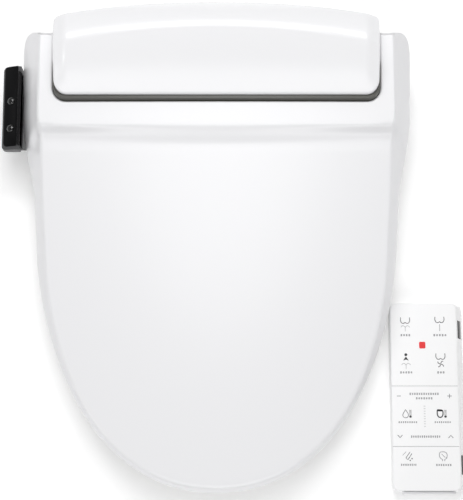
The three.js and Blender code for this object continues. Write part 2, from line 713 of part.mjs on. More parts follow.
function makePinion(name, side) {
  const centre = GEAR.rackLine - (GEAR.module * GEAR.teeth) / 2;
  const geometry = new THREE.ExtrudeGeometry(pinionProfile(), { depth: GEAR.width, bevelEnabled: false });
  const x = side * NOZZLE.x - GEAR.width / 2;
  const toSide = new THREE.Matrix4().set(0, 0, 1, x, 1, 0, 0, GEAR.at, 0, 1, 0, centre, 0, 0, 0, 1);
  const wheel = toSolid(geometry.applyMatrix4(toSide).applyMatrix4(onSlope));
  const ends = side > 0 ? [NOZZLE.x - 3, 31] : [-31, -NOZZLE.x + 3];
  const shaft = rod("x", 1.2, ...ends, GEAR.at, centre, 12, onSlope);
  piece(slope, `${name}_pinion`, join(wheel, shaft), WHITE_INNER);

  const span = side > 0 ? [26, 40] : [-40, -26];
  const bore = side > 0 ? [25, 33] : [-33, -25];
  const can = rod("x", 11.5, ...span, GEAR.at, centre, 24, onSlope);
  const hole = rod("x", 1.6, ...bore, GEAR.at, centre, 12, onSlope);
  piece(slope, `${name}_motor`, cut(can, hole), MOTOR);
}

// ---------------------------------------------------------------- water side

function makeWaterSide() {
  const { x0, x1, y0, y1, z0, z1 } = TANK;
  const wall = 3;
  const tank = box(x0, x1, y0, y1, z0, z1);
  const cavity = box(x0 + wall, x1 - wall, y0 + wall, y1 - wall, z0 + wall, z1 - wall);
  const port = rod("z", 4, 60, 74, -60, 30, 16);
  const bore = rod("z", 2.5, 60, 75, -60, 30, 16);
  piece(root, "water_tank", cut(join(tank, port), cavity, bore), WHITE_INNER);
  piece(root, "tank_heater", rod("x", 5, x0 + 8, x1 - 8, 8, 36, 16), STEEL);

  const valve = box(-150, -128, -12, 10, 12, 32);
  const coil = rod("z", 9, 31, 52, -139, -1, 20);
  piece(root, "solenoid_valve", join(valve, coil), GREY);

  const { x, z, r, boreR, rear } = INLET;
  const stub = rod("y", r, 12, rear, x, z, 24);
  const collar = rod("y", 10.5, 16, 24, x, z, 6);
  const branch = rod("x", 5, x, -152.5, 16, z, 16);
  const waterway = rod("y", boreR, 22, rear + 1, x, z, 20);
  piece(root, "water_inlet", join(cut(join(stub, collar), waterway), branch), STEEL);
}

// ---------------------------------------------------------------- electrics

function makeElectrics() {
  const board = box(20, 140, 10, 46, 96, 97.6);
  const chips = [
    box(30, 50, 16, 32, 97, 100),
    box(64, 74, 20, 40, 97, 101),
    rod("z", 5, 97, 107, 92, 30, 16),
    rod("z", 5, 97, 107, 108, 30, 16),
    box(122, 134, 16, 38, 97, 106),
  ];
  piece(root, "control_board", join(board, ...chips), BOARD);
  const transformer = box(104, 149, -26, 8, 14, 56);
  const sink = box(110, 143, -22, 4, 55, 61);
  piece(root, "power_module", join(transformer, sink), GREY);
  const cordR = 3.4;
  const gland = [
    [cordR, 22],
    [8.2, 22],
    [8.2, 26.9],
    [5.9, 26.9],
    [5.9, 30.6],
    [8, 30.6],
    [5.6, 40],
    [cordR, 40],
    [cordR, 22],
  ];
  const backwards = new THREE.Matrix4().makeRotationX(-Math.PI / 2).setPosition(GLAND.x, 0, GLAND.z);
  piece(root, "power_gland", turned(gland, backwards, 20), RUBBER);
}

// ---------------------------------------------------------------- dryer

function makeDryer() {
  const { y, z, r, from, to, wheelR, blades: count } = BLOWER;
  const { front, rear, bottom, top, wall } = DUCT;
  const outlet = [bottom + wall, top - wall];
  const scroll = join(rod("x", r, from, to, y, z, 28), box(from, to, rear + GAP, y, bottom, top));
  const hollow = join(
    rod("x", r - WALL, from + WALL, to - WALL, y, z, 28),
    box(from + wall, to - wall, rear - 1, y, ...outlet),
  );
  const inlet = rod("x", 13, to - 4, to + 2, y, z, 24);
  const shaftHole = rod("x", 2, from - 1, from + 4, y, z, 16);
  piece(root, "blower_case", cut(scroll, hollow, inlet, shaftHole), WHITE_INNER);
  const can = rod("x", 11, 28, from - GAP, y, z, 20);
  const shaft = rod("x", 1.5, from - 2, 54, y, z, 12);
  piece(root, "blower_motor", join(can, shaft), MOTOR);

  const blades = [];
  for (let i = 0; i < count; i++) {
    const turn = new THREE.Matrix4().makeRotationX((i / count) * Math.PI * 2).setPosition(0, y, z);
    blades.push(box(48.5, 69, -0.8, 0.8, 13.5, wheelR - 0.9, turn));
  }
  const disc = rod("x", wheelR, 47.5, 49.5, y, z, 24);
  const hub = rod("x", 4, 49, 62, y, z, 16);
  const bore = rod("x", 1.9, 46, 55, y, z, 12);
  piece(root, "blower_wheel", cut(join(disc, hub, ...blades), bore), GREY);

  const pipe = box(from, to, front, rear, bottom, top);
  const channel = box(from + wall, to - wall, front - 1, rear + 1, ...outlet);
  piece(root, "dryer_duct", cut(pipe, channel), WHITE_INNER);
  const grid = [0, 1, 2, 3].map((i) => box(from + 5 + i * 6, from + 8 + i * 6, -51, -39, 16.5, 23.5));
  piece(root, "dryer_heater", cut(box(from + 2.4, to - 2.4, -50, -40, 15.4, 24.6), ...grid), FOIL);

  const leaf = box(from + 1, to - 1, front - 2, front - 0.5, bottom + 0.5, 26.2);
  const pivot = rod("x", 1.2, from + 1, to - 1, front - 1.6, 26.4, 12);
  piece(root, "dryer_flap", join(leaf, pivot), WHITE);
}

// ---------------------------------------------------------------- side pod

const onPod = podFace.matrixWorld;

// The bent face of the pod, or with grow the pocket that it sits in.
function podFaceSolid(grow) {
  const { outer, ridge, inner, foot } = POD_EDGE;
  const thick = 2.2 + grow;
  const section = polygon([
    [outer[0] - grow, outer[1] + 3 * grow],
    [ridge[0], ridge[1] + 3 * grow],
    [inner[0] + 3 * grow, inner[1]],
    [inner[0] + 3 * grow, foot - grow],
    [inner[0] - 1.8 - grow, foot - grow],
    [inner[0] - 1.8 - grow, inner[1] - 1.5],
    [ridge[0] - 0.6, ridge[1] - thick],
    [outer[0] - grow, outer[1] - thick],
  ]);
  const front = POD.front + 3.5 - grow;
  const rear = POD.rear - 0.5 + 3 * grow;
  const plan = roundedRect(outer[0] - grow, -190, front, rear, 4);
  return common(along(section, front, rear), plate(plan, 50, 90));
}

function makePod() {
  const { outer, ridge, inner } = POD_EDGE;
  const section = polygon([
    [POD.inner, 12],
    [inner[0], inner[1]],
    [ridge[0], ridge[1]],
    [outer[0], outer[1]],
    [-224, 64],
    [-224.2, 52],
    [-219, 36],
    [-210, 24],
    [-208, 12],
  ]);
  const side = polygon([
    [POD.rear, 12],
    [POD.rear, 80],
    [POD.front, 80],
    [POD.front, 60],
    [-70, 40],
    [-48, 12],
  ]);
  const plan = roundedRect(-224.2, -190, POD.front, POD.rear, 5);
  const body = common(along(section, POD.front, POD.rear), across(side, -240, -190), plate(plan, 0, 90));
  const neck = box(-206, -199.3, -40, -5, 12, 33);
  const cavity = box(-6.2, 6.6, -36, 40, -17, 0, onPod);
  const wire = box(-210, -198, -12, -4, 18, 26);
  piece(root, "side_pod", cut(join(body, neck), podFaceSolid(GAP), cavity, wire), GREY);

  const holes = POD_BUTTON.y.map((y) => rod("z", POD_BUTTON.r + 0.4, -2, 3, POD_BUTTON.x, y, 16, onPod));
  piece(podFace, "side_fascia", cut(podFaceSolid(0), ...holes), BLACK_GLOSS);

  const stem = [[0, -5.5], [1.5, -5.5], [1.5, -3], [5.2, -3], [5.2, -1.8], [POD_BUTTON.r, -1.8]];
  const dome = [[POD_BUTTON.r, 1.6], [3.4, 2.5], [2, 3.1], [0, 3.3]];
  ["power_button", "wash_button"].forEach((name, i) => {
    const place = onPod.clone().multiply(at(POD_BUTTON.x, POD_BUTTON.y[i], 0));
    piece(podFace, name, turned([...stem, ...dome], place, 16), BLACK_GLOSS);
  });
}

// ---------------------------------------------------------------- handset

function makeHandset() {
  const { x, y, z, width, length, height, draft, lid: lidHeight } = HANDSET;
  const [left, right] = [x - width / 2, x + width / 2];
  const [front, rear] = [y - length / 2, y + length / 2];
  const top = z + height;
  const split = top - lidHeight;
  const section = polygon([
    [left, z],
    [right, z],
    [right, z + 7],
    [right - draft, top],
    [left, top],
  ]);
  const block = common(along(section, front, rear), plate(roundedRect(left, right, front, rear, 5), z, top));
  const cavityPlan = roundedRect(left + 2, right - draft - 2, front + 2, rear - 2, 3.5);
  const inner = plate(cavityPlan, z + 2, top + 5);
  const hatch = box(x - 22, x + 16, y - 66, y - 6, z - 1, z + 3);
  const back = cut(common(block, box(0, 400, -500, 0, 0, split)), inner, hatch);
  piece(handset, "handset_case", back, WHITE);
  piece(handset, "handset_fascia", common(block, box(0, 400, -500, 0, split + GAP, top + 1)), WHITE);
  const door = box(x - 22 + GAP, x + 16 - GAP, y - 66 + GAP, y - 6 - GAP, z, z + 1.8);
  piece(handset, "battery_door", door, GREY);
  for (const [side, name] of [[-1, "left"], [1, "right"]]) {
    const cell = rod("y", 5.2, y - 58, y - 14, x - 3 + side * 8, z + 7.6, 16);
    piece(handset, `battery_${name}`, cell, STEEL);
  }
  makeHolder(left + 2, right - 2, front, rear - 4);
}

// The plate that the handset rests on, with a lip at its lower end and two screw holes.
function makeHolder(left, right, front, rear) {
  const { half, plate: thick, lip: lipTop, screwY } = HOLDER;
  const { x, y } = HANDSET;
  const lip = box(x - half, x + half, front - 3, front - GAP, 0, lipTop);
  const web = box(x - half, x + half, front - 2, front + 10, 0, thick);
  const holder = join(box(left, right, front + 4, rear, 0, thick), lip, web);
  const screwHoles = [-screwY, screwY].map((dy) => rod("z", 2.2, -1, thick + 1, x, y + dy, 16));
  piece(root, "handset_holder", cut(holder, ...screwHoles), WHITE);
}

makeTray();
makeHousing();
makeTopPanel();
makeTrim();
makeFeetAndScrews();
makeSideCovers();
makeHinges();
makeBracket();
makeReleaseButton();
makeNozzleGuide();
makeNozzle("rear_nozzle", -NOZZLE.x);
makeNozzle("front_nozzle", NOZZLE.x);
makePinion("rear_nozzle", -1);
makePinion("front_nozzle", 1);
makeWaterSide();
makeElectrics();
makeDryer();
makePod();
makeSeat();
makeSeatBumpers();
makeLid();
makeLidBumpers();
makeHandset();

export default root;
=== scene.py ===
"""Electric bidet seat with its handset: the visual model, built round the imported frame."""
import json
import math
from contextlib import contextmanager

import bmesh
import bpy
import numpy as np
from mathutils import Matrix, Vector


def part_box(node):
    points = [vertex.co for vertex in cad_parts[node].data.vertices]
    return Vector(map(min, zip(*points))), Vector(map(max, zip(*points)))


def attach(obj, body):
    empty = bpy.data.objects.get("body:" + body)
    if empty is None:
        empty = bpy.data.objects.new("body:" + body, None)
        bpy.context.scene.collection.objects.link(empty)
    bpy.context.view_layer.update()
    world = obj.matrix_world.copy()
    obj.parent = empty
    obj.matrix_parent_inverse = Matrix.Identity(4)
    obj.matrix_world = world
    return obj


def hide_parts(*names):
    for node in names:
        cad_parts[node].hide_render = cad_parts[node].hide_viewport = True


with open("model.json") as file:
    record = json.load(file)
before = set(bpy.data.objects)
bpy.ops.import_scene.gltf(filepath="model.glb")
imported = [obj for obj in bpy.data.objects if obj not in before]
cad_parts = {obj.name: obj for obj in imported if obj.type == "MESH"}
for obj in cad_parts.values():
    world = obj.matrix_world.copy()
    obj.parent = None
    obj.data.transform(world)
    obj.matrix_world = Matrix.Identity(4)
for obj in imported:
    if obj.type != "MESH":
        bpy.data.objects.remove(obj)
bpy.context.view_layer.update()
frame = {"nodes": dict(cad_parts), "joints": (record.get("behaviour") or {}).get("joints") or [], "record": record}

MM = 0.001
WELD = 2e-6
SHARP = 38.0
JOINTS = {j["name"]: j for j in frame["joints"]}


def span(node):
    """A node's lowest and highest corners at rest, in millimetres."""
    low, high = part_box(node)
    return np.array(low) / MM, np.array(high) / MM


def middle_of(node):
    """The middle of a node's box."""
    return sum(span(node)) / 2


HINGE_Y, HINGE_Z = (1000 * v for v in JOINTS["seat_hinge"]["pos_m"][1:])
LID_LOW, LID_HIGH = span("lid_shell")
PANEL_LOW, PANEL_HIGH = span("top_panel")
SHELL_LOW, SHELL_HIGH = span("housing_shell")
NOSE_Y = LID_LOW[1]
HALF_WIDTH = LID_HIGH[0]
PLATEAU_Z = LID_HIGH[2]
FRONT_Y, REAR_Y = PANEL_LOW[1], PANEL_HIGH[1]
HOUSING_HALF = PANEL_HIGH[0]


# ------------------------------------------------------------------ mesh helpers


def linked(name, data):
    """A new object in the scene."""
    obj = bpy.data.objects.new(name, data)
    bpy.context.scene.collection.objects.link(obj)
    return obj


@contextmanager
def editing(mesh):
    """The mesh as a bmesh, written back at the end."""
    bm = bmesh.new()
    bm.from_mesh(mesh)
    yield bm
    bm.to_mesh(mesh)
    bm.free()


def mesh_object(name, verts, faces, sharp=SHARP):
    """A mesh object from points in millimetres, welded, facing out, and smooth but for sharp edges."""
    mesh = bpy.data.meshes.new(name)
    mesh.from_pydata([tuple(v) for v in np.asarray(verts, float) * MM], [], [tuple(f) for f in faces])
    with editing(mesh) as bm:
        bmesh.ops.remove_doubles(bm, verts=bm.verts, dist=WELD)
        bmesh.ops.dissolve_degenerate(bm, edges=bm.edges, dist=1e-7)
        bmesh.ops.recalc_face_normals(bm, faces=bm.faces)
    smooth(mesh, sharp)
    return linked(name, mesh)


def smooth(mesh, sharp=SHARP):
    """Smooth shading, but for edges sharper than an angle in degrees."""
    mesh.polygons.foreach_set("use_smooth", [True] * len(mesh.polygons))
    mesh.set_sharp_from_angle(angle=math.radians(sharp))
    mesh.update()


def ring_faces(rows, columns, closed_rows=False, closed_columns=True):
    """Quads of a grid of rows by columns, either way closed on itself."""
    faces = []
    for r in range(rows if closed_rows else rows - 1):
        for c in range(columns if closed_columns else columns - 1):
            a, b = r * columns + c, r * columns + (c + 1) % columns
            below = ((r + 1) % rows) * columns
            faces.append((a, b, below + (c + 1) % columns, below + c))
    return faces


def loft(name, loops, cap=(False, False), closed_rows=False, sharp=SHARP):
    """Skins a list of closed loops that all have the same number of points."""
    loops = np.asarray(loops, float)
    rows, columns = loops.shape[:2]
    faces = ring_faces(rows, columns, closed_rows)
    if cap[0]:
        faces.append(tuple(range(columns)))
    if cap[1]:
        faces.append(tuple(range((rows - 1) * columns, rows * columns)))
    return mesh_object(name, loops.reshape(-1, 3), faces, sharp)


def finish_piece(obj, body, slot_name, *replaced, material=None):
    """Gives a piece its body and the look of its slot, and hides the CAD nodes it stands for."""
    obj.data.materials.clear()
    obj.data.materials.append(material or LOOK_OF_SLOT[slot_name])
    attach(obj, body)
    if replaced:
        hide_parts(*replaced)


def apply_modifiers(obj):
    graph = bpy.context.evaluated_depsgraph_get()
    mesh = bpy.data.meshes.new_from_object(obj.evaluated_get(graph))
    obj.modifiers.clear()
    obj.data = mesh


def carve(obj, *cutters, operation="DIFFERENCE"):
    """Cuts the cutters out of obj (or joins them to it), then deletes them."""
    for cutter in cutters:
        mod = obj.modifiers.new("cut", "BOOLEAN")
        mod.operation = operation
        mod.solver = "EXACT"
        mod.object = cutter
        apply_modifiers(obj)
        bpy.data.objects.remove(cutter)
    return obj


def bevelled(obj, width, segments=3, angle=35.0, sharp=SHARP):
    mod = obj.modifiers.new("bevel", "BEVEL")
    mod.width = width * MM
    mod.segments = segments
    mod.limit_method = "ANGLE"
    mod.angle_limit = math.radians(angle)
    apply_modifiers(obj)
    smooth(obj.data, sharp)
    return obj


def block(name, low, high, round_r=0.0, segments=3):
    """A box between two corners, with rounded edges."""
    low, high = np.array(low, float), np.array(high, float)
    corners = [np.where([i & 1, i & 2, i & 4], high, low) for i in range(8)]
    faces = [(0, 2, 3, 1), (4, 5, 7, 6), (0, 1, 5, 4), (2, 6, 7, 3), (0, 4, 6, 2), (1, 3, 7, 5)]
    obj = mesh_object(name, corners, faces)
    return bevelled(obj, round_r, segments) if round_r else obj


def turned(name, profile, at=(0, 0, 0), sides=48, sharp=SHARP, bored=False, turn=Matrix.Identity(4)):
    """A turned piece from (radius, height) points; in a bored one they close on themselves."""
    angles = np.linspace(0, 2 * np.pi, sides, endpoint=False)
    loops = [[(r * math.cos(a), r * math.sin(a), h) for a in angles] for r, h in profile]
    obj = loft(name, loops, cap=(not bored, not bored), closed_rows=bored, sharp=sharp)
    obj.data.transform(Matrix.Translation(Vector(at) * MM) @ turn)
    return obj


def arc(centre, r, start, end, count):
    """Points on an arc in a plane, angles in degrees."""
    angles = np.radians(np.linspace(start, end, count))
    return np.stack([centre[0] + r * np.cos(angles), centre[1] + r * np.sin(angles)], 1)


def bezier(p0, p1, p2, p3, count):
    """Points on a cubic curve."""
    t = np.linspace(0, 1, count)[:, None]
    p0, p1, p2, p3 = (np.array(p, float) for p in (p0, p1, p2, p3))
    return (1 - t) ** 3 * p0 + 3 * (1 - t) ** 2 * t * p1 + 3 * (1 - t) * t**2 * p2 + t**3 * p3


def chain(*pieces):
    """Joins stretches of points end to end, dropping repeated ends."""
    points = [np.atleast_2d(np.array(pieces[0], float))]
    for piece in pieces[1:]:
        piece = np.atleast_2d(np.array(piece, float))
        points.append(piece[1:] if np.linalg.norm(piece[0] - points[-1][-1]) < 1e-6 else piece)
    return np.concatenate(points)


def resample(points, count=None, at=None):
    """Points spaced evenly along a line of points, or at given shares of its length."""
    points = np.asarray(points, float)
    steps = np.linalg.norm(np.diff(points, axis=0), axis=1)
    along = np.concatenate([[0], np.cumsum(steps)]) / steps.sum()
    at = np.linspace(0, 1, count) if at is None else at
    return np.stack([np.interp(at, along, points[:, k]) for k in range(points.shape[1])], 1)


def mirrored(points):
    """The right half of a symmetric line, carried on over the left half."""
    points = np.asarray(points, float)
    return np.concatenate([points, (points * [-1, 1])[::-1][1:]])


def normals(points, closed=False):
    """Unit normals to the left of a line of points."""
    points = np.asarray(points, float)
    if closed:
        step = np.roll(points, -1, 0) - np.roll(points, 1, 0)
    else:
        step = np.gradient(points, axis=0)
    n = np.stack([-step[:, 1], step[:, 0]], 1)
    return n / np.maximum(np.linalg.norm(n, axis=1, keepdims=True), 1e-9)


def ease(low, high, value):
    """0 up to low, 1 from high on, and a smooth step between them."""
    t = np.clip((np.asarray(value, float) - low) / (high - low), 0, 1)
    return t * t * (3 - 2 * t)


def mix(a, b, t):
    return a + (b - a) * t


def lifted(plan, z):
    """A plan with a height, or heights, added."""
    return np.column_stack([plan, np.broadcast_to(z, len(plan))])


def prism(name, points, low, high, along="y", round_r=0.0, segments=3, sharp=SHARP):
    """A profile carried along an axis: (x, z) along y, (y, z) along x, or (x, y) along z."""
    points = np.asarray(points, float)
    place = {
        "y": lambda p, t: np.column_stack([p[:, 0], np.full(len(p), t), p[:, 1]]),
        "x": lambda p, t: np.column_stack([np.full(len(p), t), p[:, 0], p[:, 1]]),
        "z": lifted,
    }[along]
    obj = loft(name, [place(points, low), place(points, high)], cap=(True, True), sharp=sharp)
    return bevelled(obj, round_r, segments, sharp=sharp) if round_r else obj


def rounded_rect(low, high, r, steps=8):
    """Corner points of a rectangle with round corners, in order."""
    (x0, y0), (x1, y1) = low, high
    centres = (x1 - r, y0 + r), (x1 - r, y1 - r), (x0 + r, y1 - r), (x0 + r, y0 + r)
    return np.concatenate([arc(c, r, 90 * k - 90, 90 * k, steps) for k, c in enumerate(centres)])


def rod(name, r, low, high, p, q, along="x", sides=40):
    """A round bar along an axis, through the two other coordinates in order."""
    angles = np.linspace(0, 360, sides, endpoint=False)
    ring = np.column_stack([r * np.cos(np.radians(angles)) + p, r * np.sin(np.radians(angles)) + q])
    return prism(name, ring, low, high, along)


def curve_through(points, steps=5):
    """A Catmull-Rom curve through the points."""
    points = np.asarray(points, float)
    padded = np.concatenate([[2 * points[0] - points[1]], points, [2 * points[-1] - points[-2]]])
    made = []
    for a, b, c, d in zip(padded[:-3], padded[1:-2], padded[2:-1], padded[3:]):
        for t in np.linspace(0, 1, steps, endpoint=False):
            made.append(0.5 * (2 * b + (c - a) * t + (2 * a - 5 * b + 4 * c - d) * t**2
                               + (3 * b - a - 3 * c + d) * t**3))
    return np.array([*made, points[-1]])


def joined(name, *objs):
    """Several meshes as one object."""
    mesh = bpy.data.meshes.new(name)
    with editing(mesh) as bm:
        for obj in objs:
            bm.from_mesh(obj.data)
            bpy.data.objects.remove(obj)
    smooth(mesh)
    return linked(name, mesh)


# ------------------------------------------------------------------ materials


SHADER = "Principled BSDF"


def new_node(tree, kind, **values):
    """Adds a node and sets its inputs, whose names are given with _ for a space."""
    node = tree.nodes.new(kind)
    for key, value in values.items():
        node.inputs[key.replace("_", " ")].default_value = value
    return node


def noise(tree, scale, detail):
    """The output of a noise laid out in the object's own coordinates."""
    node = new_node(tree, "ShaderNodeTexNoise", Scale=scale, Detail=detail)
    place = tree.nodes.new("ShaderNodeTexCoord")
    tree.links.new(place.outputs["Object"], node.inputs["Vector"])
    return node.outputs["Fac"]


def plastic(name, color, rough, coat=0.0, grain=0.0, shift=0.015, mottle=6.0, metal=0.0, specular=0.5):
    """Moulded plastic or metal: slow drift of colour, uneven polish and a fine moulded grain."""
    material = bpy.data.materials.new(name)
    material.use_nodes = True
    tree = material.node_tree
    links, shader = tree.links, tree.nodes[SHADER]
    darker, lighter = ((*[min(1, c * k) for c in color], 1) for k in (1 - shift, 1 + shift))
    tint = new_node(tree, "ShaderNodeMixRGB", Color1=darker, Color2=lighter)
    links.new(noise(tree, mottle, 3), tint.inputs["Fac"])
    links.new(tint.outputs["Color"], shader.inputs["Base Color"])
    spread = new_node(tree, "ShaderNodeMapRange", From_Min=0.3, From_Max=0.7, To_Min=rough * 0.99,
                      To_Max=min(1, rough * 1.01))
    links.new(noise(tree, 60, 4), spread.inputs["Value"])
    links.new(spread.outputs["Result"], shader.inputs["Roughness"])
    if grain:
        bump = new_node(tree, "ShaderNodeBump", Strength=grain, Distance=0.0002)
        links.new(noise(tree, 900, 2), bump.inputs["Height"])
        links.new(bump.outputs["Normal"], shader.inputs["Normal"])
    shader.inputs["Metallic"].default_value = metal
    shader.inputs["Specular IOR Level"].default_value = specular
    shader.inputs["Coat Weight"].default_value = coat
    shader.inputs["Coat Roughness"].default_value = 0.15
    return material


WHITE = plastic("white_gloss", (0.845, 0.845, 0.86), 0.30, coat=0.1, grain=0.03, shift=0.003)
PANEL_WHITE = plastic("panel_white", (0.905, 0.905, 0.92), 0.27, coat=0.3, grain=0.02, shift=0.002)
INNER = plastic("white_inner", (0.78, 0.78, 0.76), 0.5, grain=0.25, shift=0.02)
TRIM = plastic("dark_trim", (0.066, 0.065, 0.056), 0.30, coat=0.2, shift=0.05, specular=0.3)
BLACK = plastic("black_gloss", (0.0045, 0.0045, 0.005), 0.08, shift=0.05, specular=0.22)
BUTTON = plastic("button_gloss", (0.0045, 0.0045, 0.005), 0.06, coat=0.6, shift=0.05)
# Dark grey of the pod's case; the same colour on the skirt under the lid's edge is painted shade.
POD_GREY = plastic("pod_grey", (0.07, 0.07, 0.073), 0.4, grain=0.2, shift=0.03)
GREY = plastic("grey_plastic", (0.36, 0.36, 0.37), 0.42, grain=0.2, shift=0.03)
RUBBER = plastic("rubber", (0.055, 0.055, 0.058), 0.8, grain=0.6, shift=0.1)
STEEL = plastic("steel", (0.62, 0.62, 0.63), 0.3, grain=0.1, shift=0.03, metal=1.0)
BOARD = plastic("circuit_board", (0.03, 0.12, 0.06), 0.45, grain=0.2, shift=0.15, mottle=200)
FOIL = plastic("heater_foil", (0.62, 0.45, 0.28), 0.35, grain=0.5, shift=0.08, metal=0.8)
KEYPAD_WHITE = plastic("keypad_white", (0.95, 0.95, 0.955), 0.42, grain=0.05, shift=0.003)
INK_DARK = plastic("ink_dark", (0.020, 0.022, 0.025), 0.45, shift=0.05)
INK_MID = plastic("ink_mid", (0.13, 0.13, 0.135), 0.5, shift=0.05)
INK_PALE = plastic("ink_pale", (0.33, 0.33, 0.34), 0.5, shift=0.05)
INK_FAINT = plastic("ink_faint", (0.66, 0.66, 0.67), 0.5, shift=0.03)
STOP_RED = plastic("stop_red", (0.80, 0.022, 0.025), 0.4, shift=0.03)
CAN = plastic("motor_can", (0.36, 0.37, 0.38), 0.35, grain=0.15, shift=0.05, metal=0.9)
FLOOR = plastic("floor_white", (0.92, 0.92, 0.92), 0.9)
FLOOR.node_tree.nodes[SHADER].inputs["Emission Color"].default_value = (1, 1, 1, 1)
FLOOR.node_tree.nodes[SHADER].inputs["Emission Strength"].default_value = 0.19

LOOK_OF_SLOT = {
    "white_gloss": WHITE, "white_inner": INNER, "dark_trim": TRIM, "black_gloss": BLACK,
    "grey_plastic": GREY, "rubber": RUBBER, "steel": STEEL, "circuit_board": BOARD,
    "heater_foil": FOIL, "motor_can": CAN,
}


# ------------------------------------------------------------------ the shared outline


RIM_NOSE_Z = 34.0
RIM_SLOPE = 24 / 463
STEP_FRONT, STEP_REAR, STEP_DROP = -87.0, -61.0, 8.0
FIELD_SLOPE, FIELD_CROWN, PLATEAU_CROWN = 0.088, 4.5, 1.2
CROWN_HALF = 180.0  # the crowns are how far the top falls by this distance from the middle
FLANK_Y, WAIST_Y = -185.0, -130.0  # the rim is straight between these
FLANK_X, WAIST_X = 187.0, 190.5
SHOULDER_Y, RIM_END_Y = -42.0, -21.6  # the widest stretch, where the arms begin


def rim_z(y):
    """Height of the lid's lower rim, which falls from the hinge to the nose."""
    return RIM_NOSE_Z + RIM_SLOPE * (y - NOSE_Y)


def lid_top(x, y):
    """Height of the lid's top: a level plateau at the rear, a soft step, then a long slope."""
    out = (x / CROWN_HALF) ** 2
    field = PLATEAU_Z - STEP_DROP + FIELD_SLOPE * np.minimum(0, y - STEP_FRONT) - FIELD_CROWN * out
    plateau = PLATEAU_Z - PLATEAU_CROWN * out
    rise = np.clip((y - STEP_FRONT) / (STEP_REAR - STEP_FRONT), 0, 1) ** (1.5 + 2.0 * out)
    return mix(field, plateau, ease(0, 1, rise))


def flank_width(y):
    """How far the lid's top edge stands in from its rim."""
    return mix(2.2, 7.5, ease(-385, -240, y)) + 3.5 * ease(-280, -180, y) + 8.5 * ease(-135, -60, y)


def nose_outline(inset=0.0):
    """Right half of the rim, from the middle of the nose to the waist."""
    nose, flank, waist = NOSE_Y + inset, FLANK_X - inset, WAIST_X - inset
    return chain(
        bezier((0, nose), (139 - inset, nose), (184 - inset, -262), (flank, FLANK_Y), 90),
        [(flank, FLANK_Y), (waist, WAIST_Y)],
    )


def right_outline():
    """Right half of the rim, from the nose to the widest point beside the hinge."""
    wide = HALF_WIDTH
    return chain(
        nose_outline(),
        bezier((WAIST_X, WAIST_Y), (192, -105), (wide - 1.5, -80), (wide, SHOULDER_Y), 40),
        [(wide, SHOULDER_Y), (wide, RIM_END_Y)],
    )


# ------------------------------------------------------------------ lid

CUT_HALF = HOUSING_HALF + 2.7
CUT_R = 62.7  # the cut-out's front wall is hollowed about the hinge line
CUT_FRONT = HINGE_Y - math.sqrt(CUT_R**2 - 13**2)
CUT_CORNER = 15.0
ARM_END_R = 16.0
LID_SKIN = 2.8
CREASE_LAG = 18.0  # the step across the lid runs on down its sides, slanting to the nose
FLANK_SWELL = 1.6


def lid_rails():
    """Matching points, right arm to left arm: the housing's cut-out inside, the rim outside."""
    share = np.linspace(0, 1, 130)
    inner = chain(
        arc((CUT_HALF - CUT_CORNER, CUT_FRONT + CUT_CORNER), CUT_CORNER, 0, -90, 24),
        [(CUT_HALF - CUT_CORNER, CUT_FRONT), (0, CUT_FRONT)],
    )
    inner = resample(inner, at=share**1.1)
    outer = resample(right_outline()[::-1], at=share)
    arm_y = np.linspace(HINGE_Y, CUT_FRONT + CUT_CORNER, 14)[:-1]
    rails = []
    for x, line in ((CUT_HALF, inner), (HALF_WIDTH, outer)):
        arm = np.stack([np.full_like(arm_y, x), arm_y], 1)
        rails.append(mirrored(np.concatenate([arm, line])))
    return rails


def lid_section(a, b, na, nb, skin):
    """One cross-section line of the lid from the cut-out's wall over the top to the rim, set in by skin."""
    a = a + na * skin
    rim = b + nb * skin
    edge = b + nb * (flank_width(b[1]) + skin)
    corner = max(2.2 - skin, 0.8)
    wall = 20.0 - 4.0 * ease(HINGE_Y - 40, HINGE_Y, a[1])
    top_a = lid_top(*a) - skin
    toward = edge - a
    length = np.linalg.norm(toward)
    toward = toward / length
    points = []
    for depth in (wall, wall * 0.7, wall * 0.4, corner * 1.2):
        z = top_a - depth
        hollow = CUT_FRONT - HINGE_Y + math.sqrt(CUT_R**2 - (z - HINGE_Z) ** 2)
        points.append((a[0], a[1] - hollow * abs(na[1]), z))
    for t in np.radians([0, 30, 60, 90]):
        p = a + toward * corner * (1 - math.cos(t))
        points.append((*p, top_a - corner * (1 - math.sin(t))))
    power = 1 + 1.2 * np.clip((length - 40) / 350, 0, 1)
    edge_r = min(7.0 - 5.2 * float(ease(-80, -55, b[1])), length * 0.3)
    usable = length - corner - edge_r
    for s in (np.arange(1, 71) / 70) ** power:
        p = a + toward * (corner + usable * s)
        points.append((*p, lid_top(*p) - skin))
    top_e = lid_top(*edge) - skin
    late = [lid_top(edge[0], edge[1] + CREASE_LAG * t) - skin - top_e for t in np.linspace(0, 1, 6)]
    rim_height = max(rim_z(b[1]), 58 + 6 * float(ease(-20, HINGE_Y, b[1])) if b[1] > -20 else 0)
    start = np.array(points[-1])
    control = np.array([*edge, top_e + 0.3])
    flank_end = np.array([*rim, rim_height])
    down = flank_end - control
    meet = control + down * 0.2
    for t in np.linspace(0, 1, 8)[1:]:
        points.append(tuple((1 - t) ** 2 * start + 2 * t * (1 - t) * control + t**2 * meet))
    for t in np.linspace(0.2, 1, 9)[1:]:
        swell = FLANK_SWELL * math.sin(math.pi * (t - 0.2) / 0.8)
        p = control + down * t
        lift = float(np.interp(t, np.linspace(0, 1, 6), late)) * (1 - t) * min(1.0, (t - 0.2) / 0.3)
        outward = -nb * (swell + 0.2 * lift)
        points.append((p[0] + outward[0], p[1] + outward[1], p[2] + lift))
    return np.array(points)


